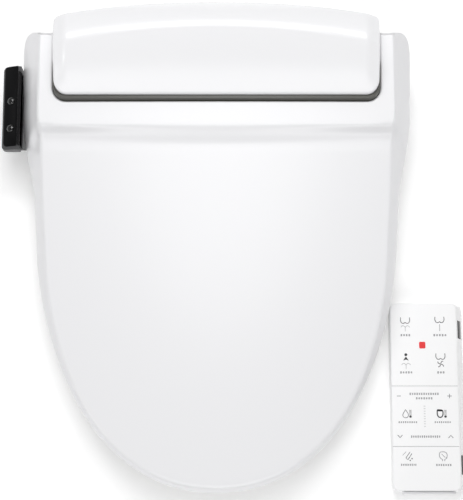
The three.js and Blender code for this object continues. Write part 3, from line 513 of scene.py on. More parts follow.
def lid_loop(*place):
    """The lid's closed section: out along the outer skin, round the lip, and back along the inner one."""
    outer, inner = (lid_section(*place, skin) for skin in (0.0, LID_SKIN))
    lip = (outer[-1] + inner[-1]) / 2 - [0, 0, 0.8]
    foot = (outer[0] + inner[0]) / 2 - [0, 0, 0.8]
    return np.concatenate([outer, [lip], inner[::-1], [foot]])


def build_lid():
    inner, outer = lid_rails()
    loops = []
    for a, b, n_in, n_out in zip(inner, outer, normals(inner), normals(outer)):
        if np.dot(n_in, b - a) < 0:
            n_in = -n_in
        if np.dot(n_out, a - b) < 0:
            n_out = -n_out
        loops.append(lid_loop(a, b, n_in, n_out))
    first, last = arm_end(loops[0]), arm_end(loops[-1])
    lid = loft("lid_cover", [*first[::-1], *loops, *last], sharp=50)
    with editing(lid.data) as bm:
        bmesh.ops.holes_fill(bm, edges=[e for e in bm.edges if e.is_boundary], sides=0)
        bmesh.ops.recalc_face_normals(bm, faces=bm.faces)
    smooth(lid.data, 50)
    finish_piece(lid, "lid", "white_gloss", "lid_shell")


def arm_end(loop):
    """The sections past the hinge line that round off an arm."""
    height = np.clip(loop[:, 2] - HINGE_Z, -ARM_END_R, ARM_END_R)
    reach = np.sqrt(ARM_END_R**2 - height**2)
    shift = np.outer(reach, [0, 1, 0])
    return [loop + shift * math.sin(turn) for turn in np.radians(np.linspace(15, 90, 6))]


# ------------------------------------------------------------------ housing


HOUSING_SIDE_END = REAR_Y - 14.2
FRONT_CORNER, REAR_CORNER = 13.0, 6.0
RIDGE_Y = 32.0
PANEL_FRONT_Z = 101.0
PANEL_MIDDLE_Y = 14.0
COVER_SKIN = 2.5


def housing_outline(half, front, rear=REAR_Y):
    """Closed plan of the housing: straight front with round corners and a bowed rear."""
    side_end = HOUSING_SIDE_END + rear - REAR_Y
    near, far = half - FRONT_CORNER, half - REAR_CORNER
    right = chain(
        [(0, front), (near, front)],
        arc((near, front + FRONT_CORNER), FRONT_CORNER, -90, 0, 16),
        [(half, front + FRONT_CORNER), (half, side_end - REAR_CORNER)],
        arc((far, side_end - REAR_CORNER), REAR_CORNER, 0, 78, 9),
        bezier((far + 1.25, side_end - 0.13), (half * 0.66, rear - 5.2), (half * 0.33, rear), (0, rear), 60),
    )
    return resample(mirrored(right), 401)[:-1]


def panel_top(x, y):
    """Height of the top panel: up to a bowed ridge, then down to the rear."""
    ridge_y = RIDGE_Y - 13 * (x / 145) ** 2
    ridge = PANEL_HIGH[2] - 6 * (x / 150) ** 2 - 5 * ease(152, 168, np.abs(x))
    front = (y - FRONT_Y) / (ridge_y - FRONT_Y)
    rear = (y - ridge_y) / (REAR_Y - ridge_y)
    share = np.clip(front, 0, 1)
    rise = mix(PANEL_FRONT_Z, ridge, share * (1.35 - 0.35 * share))
    fall = ridge - 17 * rear**2
    return mix(rise, fall, ease(-6, 6, y - ridge_y))


def panel_skin(outline, inward, middle, inset, edge_r=1.8):
    """The loops of one skin of the panel: its wall, its rounded edge and its top, set in by inset."""
    base = outline + inward * inset
    wall_top = panel_top(*base.T) - inset - edge_r * 0.9
    loops = [lifted(base, mix(PANEL_LOW[2], wall_top, h)) for h in (0.0, 0.5, 1.0)]
    for t in np.radians([22, 45, 68, 90]):
        p = base + inward * edge_r * (1 - math.cos(t))
        loops.append(lifted(p, panel_top(*p.T) - inset - edge_r * 0.9 * (1 - math.sin(t))))
    for s in np.linspace(0, 1, 26)[1:]:
        p = mix(base + inward * edge_r, middle, s)
        loops.append(lifted(p, panel_top(*p.T) - inset))
    return loops


def build_panel():
    outline = housing_outline(HOUSING_HALF, FRONT_Y)
    half = HOUSING_HALF - 44
    middle = np.column_stack([np.clip(outline[:, 0], -half, half), np.full(len(outline), PANEL_MIDDLE_Y)])
    inward = normals(outline, closed=True)
    if np.mean(np.sum(inward * (middle - outline), 1)) < 0:
        inward = -inward
    inner, outer = (panel_skin(outline, inward, middle, inset) for inset in (COVER_SKIN, 0.0))
    panel = loft("panel_cover", inner[::-1] + outer, sharp=50)
    finish_piece(panel, "main_body", "white_gloss", "top_panel", material=PANEL_WHITE)


def front_wrap(side_out, front_out, rear):
    """An open line round the housing's front, from one side to the other, ending at rear."""
    path = housing_outline(HOUSING_HALF + side_out, FRONT_Y - front_out)
    path = path[path[:, 1] < rear]
    path = path[np.argsort(np.arctan2(path[:, 0], -(path[:, 1] - 200)))]
    return resample(path, 240)


def build_trim():
    """The dark band: a slice of the cylinder about the hinge line, wrapped round the housing's front."""
    low, high = span("trim_strip")
    r = CUT_R - 0.6
    heights = np.linspace(low[2], high[2], 14)
    back = front_wrap(0.3, 0.3, high[1])
    rows = []
    for z in heights:
        out = FRONT_Y - (HINGE_Y - math.sqrt(r**2 - (z - HINGE_Z) ** 2))
        path = front_wrap(min(out, 1.9), out, high[1])
        rows.append(lifted(path, z))
    rows += [lifted(back, z) for z in heights[::-1]]
    count = len(back)
    faces = ring_faces(len(rows), count, closed_rows=True, closed_columns=False)
    for c in (0, count - 1):
        faces.append(tuple(range(c, len(rows) * count, count)))
    strip = mesh_object("trim_band", np.concatenate(rows), faces, sharp=40)
    finish_piece(strip, "main_body", "dark_trim", "trim_strip")


# ------------------------------------------------------------------ seat

SEAT_FLOOR = 15.3
SEAT_BELOW_RIM = 2.5
SEAT_INSET = 1.5
SEAT_REAR = -50.0
SEAT_ARM = (175.0, 178.5)
OPENING = (104.0, 134.0, -229.0)  # half its width, half its length, and where its middle is
TUNNEL = ((-82, -112, 5), (82, SEAT_REAR + 2, 29.7))  # clears the nozzles and the dryer
PIN_BORE_R = 5.4


def seat_loops(count=120):
    """Matching points of the opening and the outer edge, all the way round."""
    side = chain(
        nose_outline(SEAT_INSET),
        bezier((WAIST_X - SEAT_INSET, WAIST_Y), (190.5, -105), (197, -92), (198.5, -74), 24),
        bezier((198.5, -74), (198.8, -58), (191.3, SEAT_REAR), (176, SEAT_REAR), 16),
        [(176, SEAT_REAR), (0, SEAT_REAR)],
    )
    a, b, y = OPENING
    angles = np.radians(np.linspace(-90, 90, 90))
    hole = np.column_stack([a * np.cos(angles), y + b * np.sin(angles)])
    return mirrored(resample(hole, count))[:-1], mirrored(resample(side, count))[:-1]


def seat_ring(name, section, bottom, top, sharp=40.0):
    """A band whose section points go from 1 at the opening to 2 at the edge, with shares of its height."""
    hole, edge = seat_loops()
    loops = []
    for r, h in section:
        p = mix(hole, edge, r - 1)
        loops.append(lifted(p, mix(bottom, top(p[:, 1]), h)))
    return loft(name, loops, closed_rows=True, sharp=sharp)


def seat_arm(side):
    """A blade up to the hinge line, with a round boss."""
    x0, x1 = sorted(side * x for x in SEAT_ARM)
    blade = prism("arm", [(-72, 16), (-51, 16), (-49, 39), (22, 72.4), (22, 88), (-72, 45.5)], x0, x1, "x")
    boss = rod("boss", span("seat_top")[1][1] - HINGE_Y, x0, x1, HINGE_Y, HINGE_Z)
    return carve(blade, boss, operation="UNION")


def build_seat():
    outer = curve_through([(1, 0), (1, 0.5), (1.04, 0.78), (1.28, 0.96), (1.6, 1), (1.88, 0.97),
                           (1.975, 0.82), (2, 0.55), (2, 0)])
    inner = curve_through([(1.965, 0), (1.965, 0.52), (1.94, 0.7), (1.85, 0.84), (1.6, 0.88), (1.3, 0.84),
                           (1.08, 0.68), (1.038, 0.48), (1.038, 0)], 3)
    outer = np.clip(outer, [1, 0], [2, 1])
    section = np.concatenate([outer, inner])
    seat = seat_ring("seat_ring", section, SEAT_FLOOR, lambda y: rim_z(y) - SEAT_BELOW_RIM)
    carve(seat, seat_arm(1), seat_arm(-1), operation="UNION")
    bore = rod("bore", PIN_BORE_R, -190, 190, HINGE_Y, HINGE_Z)
    carve(seat, bore, block("tunnel", *TUNNEL, 2.0))
    smooth(seat.data, 40)
    finish_piece(seat, "seat", "white_gloss", "seat_top")

    low, high = span("seat_base")
    square = [(1, 0), (1, 1), (2, 1), (2, 0)]
    floor = seat_ring("seat_floor", square, low[2], lambda y: np.full_like(y, high[2]))
    carve(floor, block("tunnel", *TUNNEL))
    finish_piece(floor, "seat", "white_inner", "seat_base")


def rubber_on(node, profile_of, body):
    """Replaces an upright round node by a finer turned one of the same height and width."""
    low, high = span(node)
    x, y, _ = middle_of(node)
    r, height = (high[0] - low[0]) / 2, high[2] - low[2]
    piece = turned(f"{node}_rubber", profile_of(r, height), (x, y, low[2]), sides=32)
    finish_piece(piece, body, "rubber", node)


def pad_profile(r, height):
    """A soft pad with a round edge, a dished face and a stem above."""
    edge = arc((r - 1.4, 1.4), 1.4, -90, 0, 5)
    stem = [(r * 0.3, height * 0.7), (r * 0.3, height)]
    return [(r - 3.5, 0.5), (r - 2.6, 0.05), *edge, (r, height * 0.62), (r - 0.6, height * 0.66), *stem]


def plug_profile(r, height):
    """A short plug with a round edge."""
    edge = arc((r - 1.6, 1.8), 1.6, -90, 0, 5)
    return [(r * 0.55, 0.2), *edge, (r - 0.4, height * 0.5), (r - 1, height)]


def build_bumpers():
    for i in range(4):
        rubber_on(f"seat_bumper_{i + 1}", pad_profile, "seat")
        rubber_on(f"rubber_foot_{i + 1}", pad_profile, "main_body")
    for name in ("lid_bumper_left", "lid_bumper_right"):
        rubber_on(name, plug_profile, "lid")


# ------------------------------------------------------------------ housing shell, covers

RAIL_GAP, COVER_PORT = (76.5, 99.5), (150, 180)


def build_housing():
    """The wall, bored for the hinge pins, with gaps for nozzles, dryer, rails and ports."""
    bottom, top = SHELL_LOW[2], SHELL_HIGH[2]
    loops = []
    for inset, z in ((0, bottom), (0, top), (COVER_SKIN, top), (COVER_SKIN, bottom)):
        path = housing_outline(HOUSING_HALF - inset, FRONT_Y + inset, REAR_Y - inset)
        loops.append(lifted(path, z))
    shell = loft("housing_wall", loops, closed_rows=True)
    duct_low, duct_high = span("dryer_duct")
    cutters = [
        rod("bore", PIN_BORE_R, -180, 180, HINGE_Y, HINGE_Z),
        block("nozzle_gap", (-28, FRONT_Y - 4, 0), (28, FRONT_Y + 11, 54), 3.0),
        block("duct_gap", (duct_low[0] - 0.5, FRONT_Y - 4, duct_low[2] - 0.5),
              (duct_high[0] + 0.5, FRONT_Y + 11, duct_high[2] + 0.5)),
    ]
    for side in (-1, 1):
        x0, x1 = sorted(side * x for x in RAIL_GAP)
        cutters.append(block("rail_gap", (x0, 0, 0), (x1, REAR_Y + 8, 11.4)))
        x0, x1 = sorted(side * x for x in COVER_PORT)
        cutters.append(block("port", (x0, -6, 14), (x1, 26, 28)))
    carve(shell, *cutters)
    smooth(shell.data)
    finish_piece(shell, "main_body", "white_gloss", "housing_shell")


def build_side_covers():
    """The two covers, open below and toward the housing, with a port at the rear and a hole in the side."""
    for name, side in (("side_cover_left", -1), ("side_cover_right", 1)):
        low, high = span(name)
        cover = block(name + "_shell", low, high, 3.0, 4)
        inner_low, inner_high = low + [COVER_SKIN, COVER_SKIN, -10], high - COVER_SKIN
        if side > 0:
            inner_low[0] = low[0] - 2
        else:
            inner_high[0] = high[0] + 2
        carve(cover, block("hollow", inner_low, inner_high, 1.0, 2))
        carve(cover, rod("port", 8.4 if side < 0 else 6.4, 20, 40, side * 184, 21, "y"))
        if side > 0:
            carve(cover, rod("button_port", 7.4, 190, 205, -8, 20))
        else:
            carve(cover, block("neck_port", (-205, -14, 16), (-190, -2, 28)))
        smooth(cover.data)
        finish_piece(cover, "main_body", "white_gloss", name)


# ------------------------------------------------------------------ side pod

POD_TILT = 22.0
POD_FACE = (-214.5, -39.0, 70.2)
POD_OUTER, POD_RIDGE, POD_INNER = (-221.8, 68.5), (-207.0, 74.5), (-204.6, 72.0)
POD_SIDE, POD_FOOT = -224.2, 56.0
POD_BUTTONS = {"power_button": "power_key", "wash_button": "wash_key"}


def pod_frame(x=0.0, y=0.0, z=0.0):
    """Places something on the pod's tilted face."""
    turn = Matrix.Rotation(math.radians(-POD_TILT), 4, "Y")
    return Matrix.Translation(Vector(POD_FACE) * MM) @ turn @ Matrix.Translation(Vector((x, y, z)) * MM)


def button_y(name):
    """How far a button sits from the pod face's middle, along y."""
    return middle_of(name)[1] - POD_FACE[1]


def pod_shell(front, rear):
    """The pod's case: a section drawn along y, then cut to its side view and its plan."""
    section = [(POD_INNER[0], 12), (POD_INNER[0], POD_INNER[1] - 1.6),
               (POD_RIDGE[0] - 1.5, POD_RIDGE[1] - 1.6), (POD_OUTER[0] + 0.6, POD_OUTER[1] - 0.6),
               (-223.4, 66.4), (-224.1, 63), (POD_SIDE, 52), (-219, 36), (-210, 24), (-208, 12)]
    shell = prism("pod_shell", section, front, rear)
    side = [(rear, 10), (rear, 82), (front, 82), (front, 60), (-70, 40), (-48, 10)]
    carve(shell, prism("side", side, -240, -190, "x"), operation="INTERSECT")
    plan = rounded_rect((POD_SIDE, front), (-180, rear), 6)
    carve(shell, prism("plan", plan, 0, 90, "z"), operation="INTERSECT")
    return shell


def pod_face(y0, y1):
    """The black plate on the tilted facet, with a well for each button."""
    slope_share = (POD_RIDGE[1] - POD_OUTER[1]) / (POD_RIDGE[0] - POD_OUTER[0])
    facet = [POD_OUTER, (POD_RIDGE[0] - 0.25, POD_RIDGE[1] - 0.25 * slope_share),
             (POD_RIDGE[0] - 0.9, POD_RIDGE[1] - 2.2), (POD_OUTER[0], POD_OUTER[1] - 2.0)]
    plate = prism("pod_face", facet, y0, y1)
    plan = rounded_rect((POD_OUTER[0], y0), (-190, y1), 4)
    carve(plate, prism("plan", plan, 50, 90, "z"), operation="INTERSECT")
    for name in POD_BUTTONS:
        well = turned("well", [(4.4, -4), (4.4, 1.0), (4.9, 1.6)], sides=40)
        well.data.transform(pod_frame(0.5, button_y(name)))
        carve(plate, well)
    bevelled(plate, 0.35, 3)
    return plate


def pod_strip(y0, y1):
    """The black strip that turns down the pod's inner side."""
    ridge_x, inner_x = POD_RIDGE[0] + 0.15, POD_INNER[0] - 1.8
    section = [(ridge_x, POD_RIDGE[1] - 0.1), POD_INNER, (POD_INNER[0], POD_FOOT), (inner_x, POD_FOOT),
               (inner_x, POD_INNER[1] - 1.5), (ridge_x, POD_RIDGE[1] - 2.2)]
    return prism("strip", section, y0 + 1.0, y1 - 5.5, round_r=0.4)


def build_pod():
    """The pod's case with its neck to the side cover, its black face, and two domed buttons."""
    low, high = span("side_pod")
    shell = pod_shell(low[1], high[1])
    neck = block("neck", (-206, -40, 12), (high[0], -5, 33))
    # The skirt below fills the gap under the lid's edge in the pod's dark grey: a dark piece that stands in as
    # painted shade there.
    under = [(-76, 44), (-62, 32), (-40, 26), (-4, 26), (-4, 46), (-76, 50)]
    carve(shell, neck, prism("shade_skirt", under, -206, high[0], "x"), operation="UNION")
    bevelled(shell, 0.9, 3)
    finish_piece(shell, "main_body", "grey_plastic", "side_pod", material=POD_GREY)

    y0, y1 = (corner[1] for corner in span("side_fascia"))
    face = joined("pod_fascia", pod_face(y0, y1), pod_strip(y0, y1))
    finish_piece(face, "main_body", "black_gloss", "side_fascia")

    stem = [(0.01, -5.5), (1.5, -5.5), (1.5, -3), (3.9, -3), *arc((3.1, 1.3), 0.9, 0, 60, 4)]
    dome = [(3.4 * math.cos(t), 1.9 + 1.35 * math.sin(t)) for t in np.radians([20, 35, 50, 65, 80])]
    for name, body in POD_BUTTONS.items():
        key = turned(f"{name}_dome", [*stem, *dome, (0.01, 3.28)], sides=48, sharp=60)
        key.data.transform(pod_frame(0.5, button_y(name)))
        finish_piece(key, body, "black_gloss", name, material=BUTTON)


# ------------------------------------------------------------------ handset


class Handset:
    """Sizes of the handset, read from its two shells."""

    def __init__(self):
        case_low, case_high = span("handset_case")
        face_high = span("handset_fascia")[1]
        self.left, self.right = case_low[0], case_high[0]
        self.front, self.rear = case_low[1], case_high[1]
        self.bottom, self.split, self.top = case_low[2], case_high[2], face_high[2]
        self.knee = self.bottom + 4.5
        self.face_right = self.right - 7.5
        self.centre = np.array([(self.left + self.face_right) / 2, (self.front + self.rear) / 2])

    def flank(self, z):
        """Where the right side stands at a height: upright at first, then leaning in."""
        lean = np.clip((z - self.knee) / (self.top - self.knee), 0, 1)
        return mix(self.right, self.face_right, lean)

    def loop(self, z, inset, r=6.0):
        low = (self.left + inset, self.front + inset)
        high = (self.flank(z) - inset, self.rear - inset)
        plan = rounded_rect(low, high, r - inset * 0.5, 10)
        return lifted(plan, z)

    def shell(self, name, levels):
        return loft(name, [self.loop(z, inset) for z, inset in levels], cap=(True, True), sharp=50)


class Ink:
    """Collects printed marks on the handset's face into one thin mesh."""

    def __init__(self, handset):
        self.z, self.centre = handset.top, handset.centre
        self.verts, self.faces = [], []

    def add(self, outline, height=0.1):
        """A flat printed shape, from points about the face's centre."""
        outline = np.asarray(outline, float) + self.centre
        base, count = len(self.verts), len(outline)
        for z in (self.z - 0.05, self.z + height):
            self.verts += [(*p, z) for p in outline]
        self.faces += [tuple(range(base, base + count))[::-1], tuple(range(base + count, base + 2 * count))]
        for i in range(count):
            j = (i + 1) % count
            self.faces.append((base + i, base + j, base + count + j, base + count + i))

    def line(self, points, width, closed=False):
        points = np.asarray(points, float)
        n = normals(points, closed) * width / 2
        left, right = points + n, points - n
        for i in range(len(points) if closed else len(points) - 1):
            j = (i + 1) % len(points)
            self.add([left[i], left[j], right[j], right[i]])

    def dot(self, at, r):
        self.add(arc(at, r, 0, 345, 24))

    def finish(self, name, material, slot_name=None):
        obj = mesh_object(name, self.verts, self.faces, sharp=30)
        finish_piece(obj, "handset", slot_name, material=material)


def cup(x, y, width=9.6, height=6.2):
    """The outline of a seated person from behind: a cup with a wavy base."""
    w, h = width / 2, height / 2
    half = chain(
        [(w * 0.96, h), (w, h * 0.2)],
        bezier((w, h * 0.2), (w, -h * 0.6), (w * 0.72, -h), (w * 0.45, -h), 9),
        bezier((w * 0.45, -h), (w * 0.22, -h), (w * 0.12, -h * 0.74), (0, -h * 0.72), 6),
    )
    return mirrored(half) + [x, y]


def fork(ink, x, y):
    """A jet of water that parts in two."""
    ink.line([(x, y - 3.0), (x, y + 1.2)], 0.42)
    for side in (-1, 1):
        reach = bezier((0, 1.0), (side * 0.4, 2.6), (side * 3.4, 4.2), (side * 4.5, 1.2), 9)
        ink.line(reach + [x, y], 0.42)


def label(ink, x, y, letters, width, height=2.3):
    """Small blocks that stand for a printed word."""
    step = width / letters
    for i in range(letters):
        middle = x - width / 2 + step * (i + 0.5)
        tall = height * (1.0, 0.82, 0.92)[i % 3]
        low, high = (middle - step * 0.3, y - tall / 2), (middle + step * 0.3, y + tall / 2)
        ink.add(rounded_rect(low, high, 0.2, 2))


def thermometer(pale, dark, x, y):
    for side in (-1, 1):
        pale.line([(x + side * 0.75, y + 4.2), (x + side * 0.75, y - 1.5)], 0.35)
    for k in range(4):
        pale.line([(x - 0.7, y + 3.6 - k * 1.3), (x + 0.7, y + 3.6 - k * 1.3)], 0.4)
    dark.dot((x, y - 2.8), 1.25)


def print_wash_keys(dark, mid, pale, left=-19.0, right=17.0):
    """Four keys in two columns: two washes, a gentler wash, and the dryer with its fan."""
    mid.line(cup(left, 79.0), 0.78)
    fork(pale, left, 70.5)
    label(pale, left, 63.5, 4, 11)
    mid.line(cup(right, 79.8), 0.78)
    pale.line([(right, 75.0), (right, 67.8)], 0.6)
    label(pale, right, 63.5, 5, 14.5)
    dark.dot((left, 43.0), 1.5)
    dark.add([(left - 2.9, 36.9), (left, 37.9), (left + 2.9, 36.9), (left + 0.3, 40.7), (left - 0.3, 40.7)])
    fork(pale, left, 31.0)
    label(pale, left, 24.5, 5, 13.5)
    mid.line(cup(right, 41.2), 0.78)
    for k in range(4):
        turn = math.radians(45 + 90 * k)
        blade = bezier((0.4, 0), (1.6, 1.3), (2.9, 1.3), (3.9, 0.2), 7)
        c, s = math.cos(turn), math.sin(turn)
        mid.line(blade @ np.array([[c, s], [-s, c]]) + [right, 33.2], 0.8)
    label(pale, right, 24.5, 3, 8.5)


def print_level_keys(mid, pale):
    """The two rules, the minus and plus between them, and the arrows below."""
    for y in (10.4, -52.0):
        pale.line([(-34.5, y), (34.0, y)], 0.42)
    mid.line([(-29.2, 0), (-25.1, 0)], 0.6)
    mid.line([(22.9, 0), (27.6, 0)], 0.6)
    mid.line([(25.25, -2.3), (25.25, 2.3)], 0.6)
    label(pale, -1.0, 2.2, 13, 31, 2.4)
    label(pale, -1.0, -2.4, 7, 18, 2.2)
    mid.line([(-29.2, -40.2), (-26.8, -42.9), (-24.4, -40.2)], 0.75)
    mid.line([(23.1, -43.2), (25.5, -40.5), (27.9, -43.2)], 0.75)
    label(pale, -0.5, -41.8, 14, 31, 2.4)


def print_heat_keys(dark, mid, pale):
    """Two keys with thermometers: a drop for the water and a ring for the seat."""
    drop = chain(
        bezier((0, 4.2), (1.2, 2.2), (2.9, 0.2), (2.9, -1.4), 9),
        bezier((2.9, -1.4), (2.9, -5.1), (-2.9, -5.1), (-2.9, -1.4), 14),
        bezier((-2.9, -1.4), (-2.9, 0.2), (-1.2, 2.2), (0, 4.2), 9),
    )[:-1]
    mid.line(drop + [-20.6, -18.3], 0.62, closed=True)
    thermometer(mid, dark, -15.6, -18.4)
    ring = chain(
        bezier((-2.5, 4.0), (2.5, 4.0), (3.1, 3.6), (3.0, 0.4), 14),
        bezier((3.0, 0.4), (2.9, -5.2), (-2.9, -5.2), (-3.0, 0.4), 18),
        bezier((-3.0, 0.4), (-3.1, 3.6), (-2.7, 3.9), (-2.5, 4.0), 8),
    )[:-1]
    dark.line(ring + [15.1, -18.3], 1.15, closed=True)
    dark.add(rounded_rect((12.7, -15.9), (17.6, -14.1), 0.8, 4))
    thermometer(mid, dark, 20.6, -18.4)
    label(pale, -18.5, -27.0, 9, 20, 1.9)
    label(pale, 17.5, -27.0, 8, 17.5, 1.9)


def print_extra_keys(mid, pale):
    """Two keys at the foot: the nozzle's cleaning and the saving of power, with its leaf."""
    for x0, x1, lift in ((-21.3, -17.0, 0), (-19.2, -15.1, -1.68)):
        mid.line([(x0, -63.6 + lift), (x1, -57.6 + lift)], 0.6)
    mid.line([(-21.3, -63.6), (-19.6, -65.3), (-17.4, -63.0)], 0.6)
    for shift in (0.0, 1.9):
        pale.line([(-24.6 + shift, -61.2 + shift), (-22.8 + shift, -58.8 + shift)], 0.45)
        mid.dot((-16.9 + shift, -66.2 + shift), 0.7)
    leaf = chain(
        bezier((-1.4, -3.4), (-5.0, -1.6), (-4.6, 3.4), (-2.6, 4.0), 12),
        bezier((-2.6, 4.0), (0, 4.6), (3.8, 4.4), (4.0, 1.0), 12),
        bezier((4.0, 1.0), (4.1, -1.6), (2.9, -2.6), (1.9, -3.4), 8),
    )
    leaf_at = np.array([17.2, -61.6])
    pale.line(leaf + leaf_at, 0.7)
    pale.line([leaf_at + (-1.8, 2.0), leaf_at + (2.0, -1.6)], 0.6)
    for x in (-0.9, 1.4):
        pale.line([leaf_at + (x, -3.2), leaf_at + (x, -5.2)], 0.8)
    label(pale, -18.6, -70.6, 9, 16.5, 2.2)
    label(pale, 17.4, -70.8, 7, 16.5, 2.2)


def print_keys(handset):
    """The icons of the flat keys, as thin prints, with the stop key and the level scale."""
    dark, mid, pale = Ink(handset), Ink(handset), Ink(handset)
    print_wash_keys(dark, mid, pale)
    print_level_keys(mid, pale)
    print_heat_keys(dark, mid, pale)
    print_extra_keys(mid, pale)
    dark.finish("ink_dark", INK_DARK, "black_gloss")
    mid.finish("ink_mid", INK_MID, "grey_plastic")
    pale.finish("ink_pale", INK_PALE, "grey_plastic")
    stop = Ink(handset)
    stop.add(rounded_rect((-4.9, 49.5), (1.6, 56.5), 1.3, 6), 0.25)
    stop.finish("stop_key", STOP_RED)
    scale = Ink(handset)
    for k in range(9):
        scale.line([(-1.9, -10.5 - k * 2.6), (0.1, -10.5 - k * 2.6)], 0.9)
    scale.finish("ink_faint", INK_FAINT, "white_gloss")


def grip_outline(handset):
    """The section of a grip pad, laid on the handset's leaning side."""
    knee = np.array([handset.right, handset.knee])
    slope = np.array([handset.face_right, handset.top]) - knee
    out = np.array([slope[1], -slope[0]]) / np.linalg.norm(slope)
    return [knee + slope * t + out * d for t, d in ((0.22, -0.5), (0.22, 0.2), (0.84, 0.2), (0.84, -0.5))]


def build_handset():
    """The two shells, the grip pads on the right side, and the prints."""
    handset = Handset()
    bottom, split, top = handset.bottom, handset.split, handset.top
    case = handset.shell("handset_body", [
        (bottom, 2.2), (bottom + 0.25, 1.3), (bottom + 0.8, 0.5), (bottom + 1.6, 0.1),
        (handset.knee - 1.2, 0), (handset.knee, 0.05), (handset.knee + 1.2, 0.0), (split - 0.3, 0),
        (split, 0.3)])
    door_low, door_high = span("battery_door")
    hatch_high = [door_high[0] + 0.3, door_high[1] + 0.3, bottom + 2.2]
    carve(case, block("hatch", door_low - [0.3, 0.3, 1], hatch_high))
    smooth(case.data, 50)
    finish_piece(case, "handset", "white_gloss", "handset_case", material=KEYPAD_WHITE)
    face = handset.shell("handset_face", [
        (split + 0.3, 0.3), (split + 0.6, 0), (top - 1.1, 0), (top - 0.6, 0.15), (top - 0.25, 0.5),
        (top - 0.05, 0.95), (top, 1.5)])
    finish_piece(face, "handset", "white_gloss", "handset_fascia", material=KEYPAD_WHITE)
    for i, (y0, y1) in enumerate(((60.5, 79.5), (-80.5, -60.5))):
        y0, y1 = y0 + handset.centre[1], y1 + handset.centre[1]
        pad = prism(f"grip_pad_{i + 1}", grip_outline(handset), y0, y1, "y", 0.35, 3)
        finish_piece(pad, "handset", "black_gloss")
    print_keys(handset)


def build_holder():
    low, high = span("handset_holder")
    middle = middle_of("handset_holder")[0]
    plate = block("holder_plate", (low[0], low[1] + 7, 0), (high[0], high[1], 3), 1.0)
    front = low[1]
    profile = [(front + 1.2, 0), *arc((front + 2.0, 2.0), 2.0, -110, -180, 5), (front + 0.1, 13.4),
               *arc((front + 1.35, high[2] - 1.35), 1.35, 180, 0, 7), (front + 2.7, 4.2),
               *arc((front + 4.4, 4.4), 1.7, 190, 265, 4), (front + 13, 2.9), (front + 13, 0)]
    lip = prism("lip", profile, middle - 27, middle + 27, "x", 0.3, 2)
    carve(plate, lip, operation="UNION")
    for reach in (-60, 60):
        y = middle_of("handset_case")[1] + reach
        carve(plate, turned("hole", [(2.2, -1), (2.2, 1.2), (4.4, 3.2)], (middle, y, 0), sides=32))
    smooth(plate.data, 40)
    finish_piece(plate, "main_body", "white_gloss", "handset_holder")


# ------------------------------------------------------------------ small fittings


def softened(node, name, body, slot_name, width):
    """The CAD node's own shape with its moulded edges rounded."""
    mesh = frame["nodes"][node].data.copy()
    with editing(mesh) as bm:
        bmesh.ops.remove_doubles(bm, verts=bm.verts, dist=2e-6)
        bmesh.ops.dissolve_limit(bm, angle_limit=math.radians(1.5), verts=bm.verts, edges=bm.edges)
    obj = linked(name, mesh)
    bevelled(obj, width, 2, angle=40)
    finish_piece(obj, body, slot_name, node)


TO_REAR = Matrix.Rotation(-math.pi / 2, 4, "X")
TO_SIDE = Matrix.Rotation(math.pi / 2, 4, "Y")


def turned_to_rear(name, profile, sides, at):
    return turned(name, profile, at, sides, bored=True, turn=TO_REAR)


def build_inlet():
    """Threaded steel inlet: six-sided collar, fine thread, open bore and a branch to the valve."""
    low, high = span("water_inlet")
    x, z, rear = low[0] + 10.5, (low[2] + high[2]) / 2, high[1]
    thread = []
    for k in range(8):
        y = 25.5 + k * 1.7
        thread += [(7.3, y), (8.0, y + 0.6), (8.0, y + 0.9), (7.3, y + 1.5)]
    outside = [(7.2, 12), (7.2, 24.2), *thread, (7.4, rear - 0.6), (6.9, rear)]
    stub = turned_to_rear("inlet_stub", [*outside, (5.5, rear), (5.5, 14), (5.5, 12)], 64, (x, 0, z))
    nut = [(10.5, 16.4), (10.5, 23.6), (9.6, 24), (6.5, 24), (6.5, 16), (9.6, 16)]
    collar = turned_to_rear("collar", nut, 6, (x, 0, z))
    branch = rod("branch", 5, x + 6.4, high[0], 16, z, "x", 40)
    finish_piece(joined("inlet_fitting", stub, collar, branch), "main_body", "steel", "water_inlet")


def build_gland():
    """The rubber gland round the cord, with a flange and ribs that get smaller."""
    x, _, z = middle_of("power_gland")
    ribs = []
    for k in range(4):
        y = 31.2 + k * 2.1
        r = 8 - (y - 30.6) * 2.4 / 9.4
        ribs += [(r, y), (r - 0.2, y + 1.2), (r - 1.3, y + 1.45), (r - 1.35, y + 1.85)]
    flange = [(8.0, 22), (8.2, 22.4), (8.2, 26.6), (7.9, 26.9), (5.9, 26.9), (5.9, 30.6), (7.6, 30.6)]
    profile = [*flange, *ribs, (5.5, 39.8), (5.2, 40), (3.8, 40), (3.4, 39.6), (3.4, 22)]
    gland = turned_to_rear("cord_gland", profile, 56, (x, 0, z))
    finish_piece(gland, "main_body", "rubber", "power_gland")


def build_release():
    low, high = span("release_button")
    back, out = low[0], high[0]
    _, y, z = middle_of("release_button")
    flange = [(9, back), (9, back + 1.7), (8.7, back + 2), (7, back + 2)]
    cap = [(7, out - 1.0), (6.7, out - 0.3), (6.1, out), (5.2, out), (4.9, out - 0.5), (4.0, out - 0.5)]
    button = turned("release_cap", [*flange, *cap, (3.7, out), (0.4, out)], sides=56)
    button.data.transform(Matrix.Translation(Vector((0, y, z)) * MM) @ TO_SIDE)
    finish_piece(button, "release", "grey_plastic", "release_button")


NOZZLE_PITCH = 35.0
NOZZLE_TIP = (-64.0, 12.2)
NOZZLE_LENGTH, NOZZLE_R = 130.0, 5.5
RACK_AT, RACK_LINE, RACK_WIDTH, RACK_TEETH = 50.0, -8.0, 4.6, 26


def slope_frame(x=0.0):
    turn = Matrix.Rotation(math.radians(NOZZLE_PITCH), 4, "X")
    return Matrix.Translation(Vector((x, *NOZZLE_TIP)) * MM) @ turn


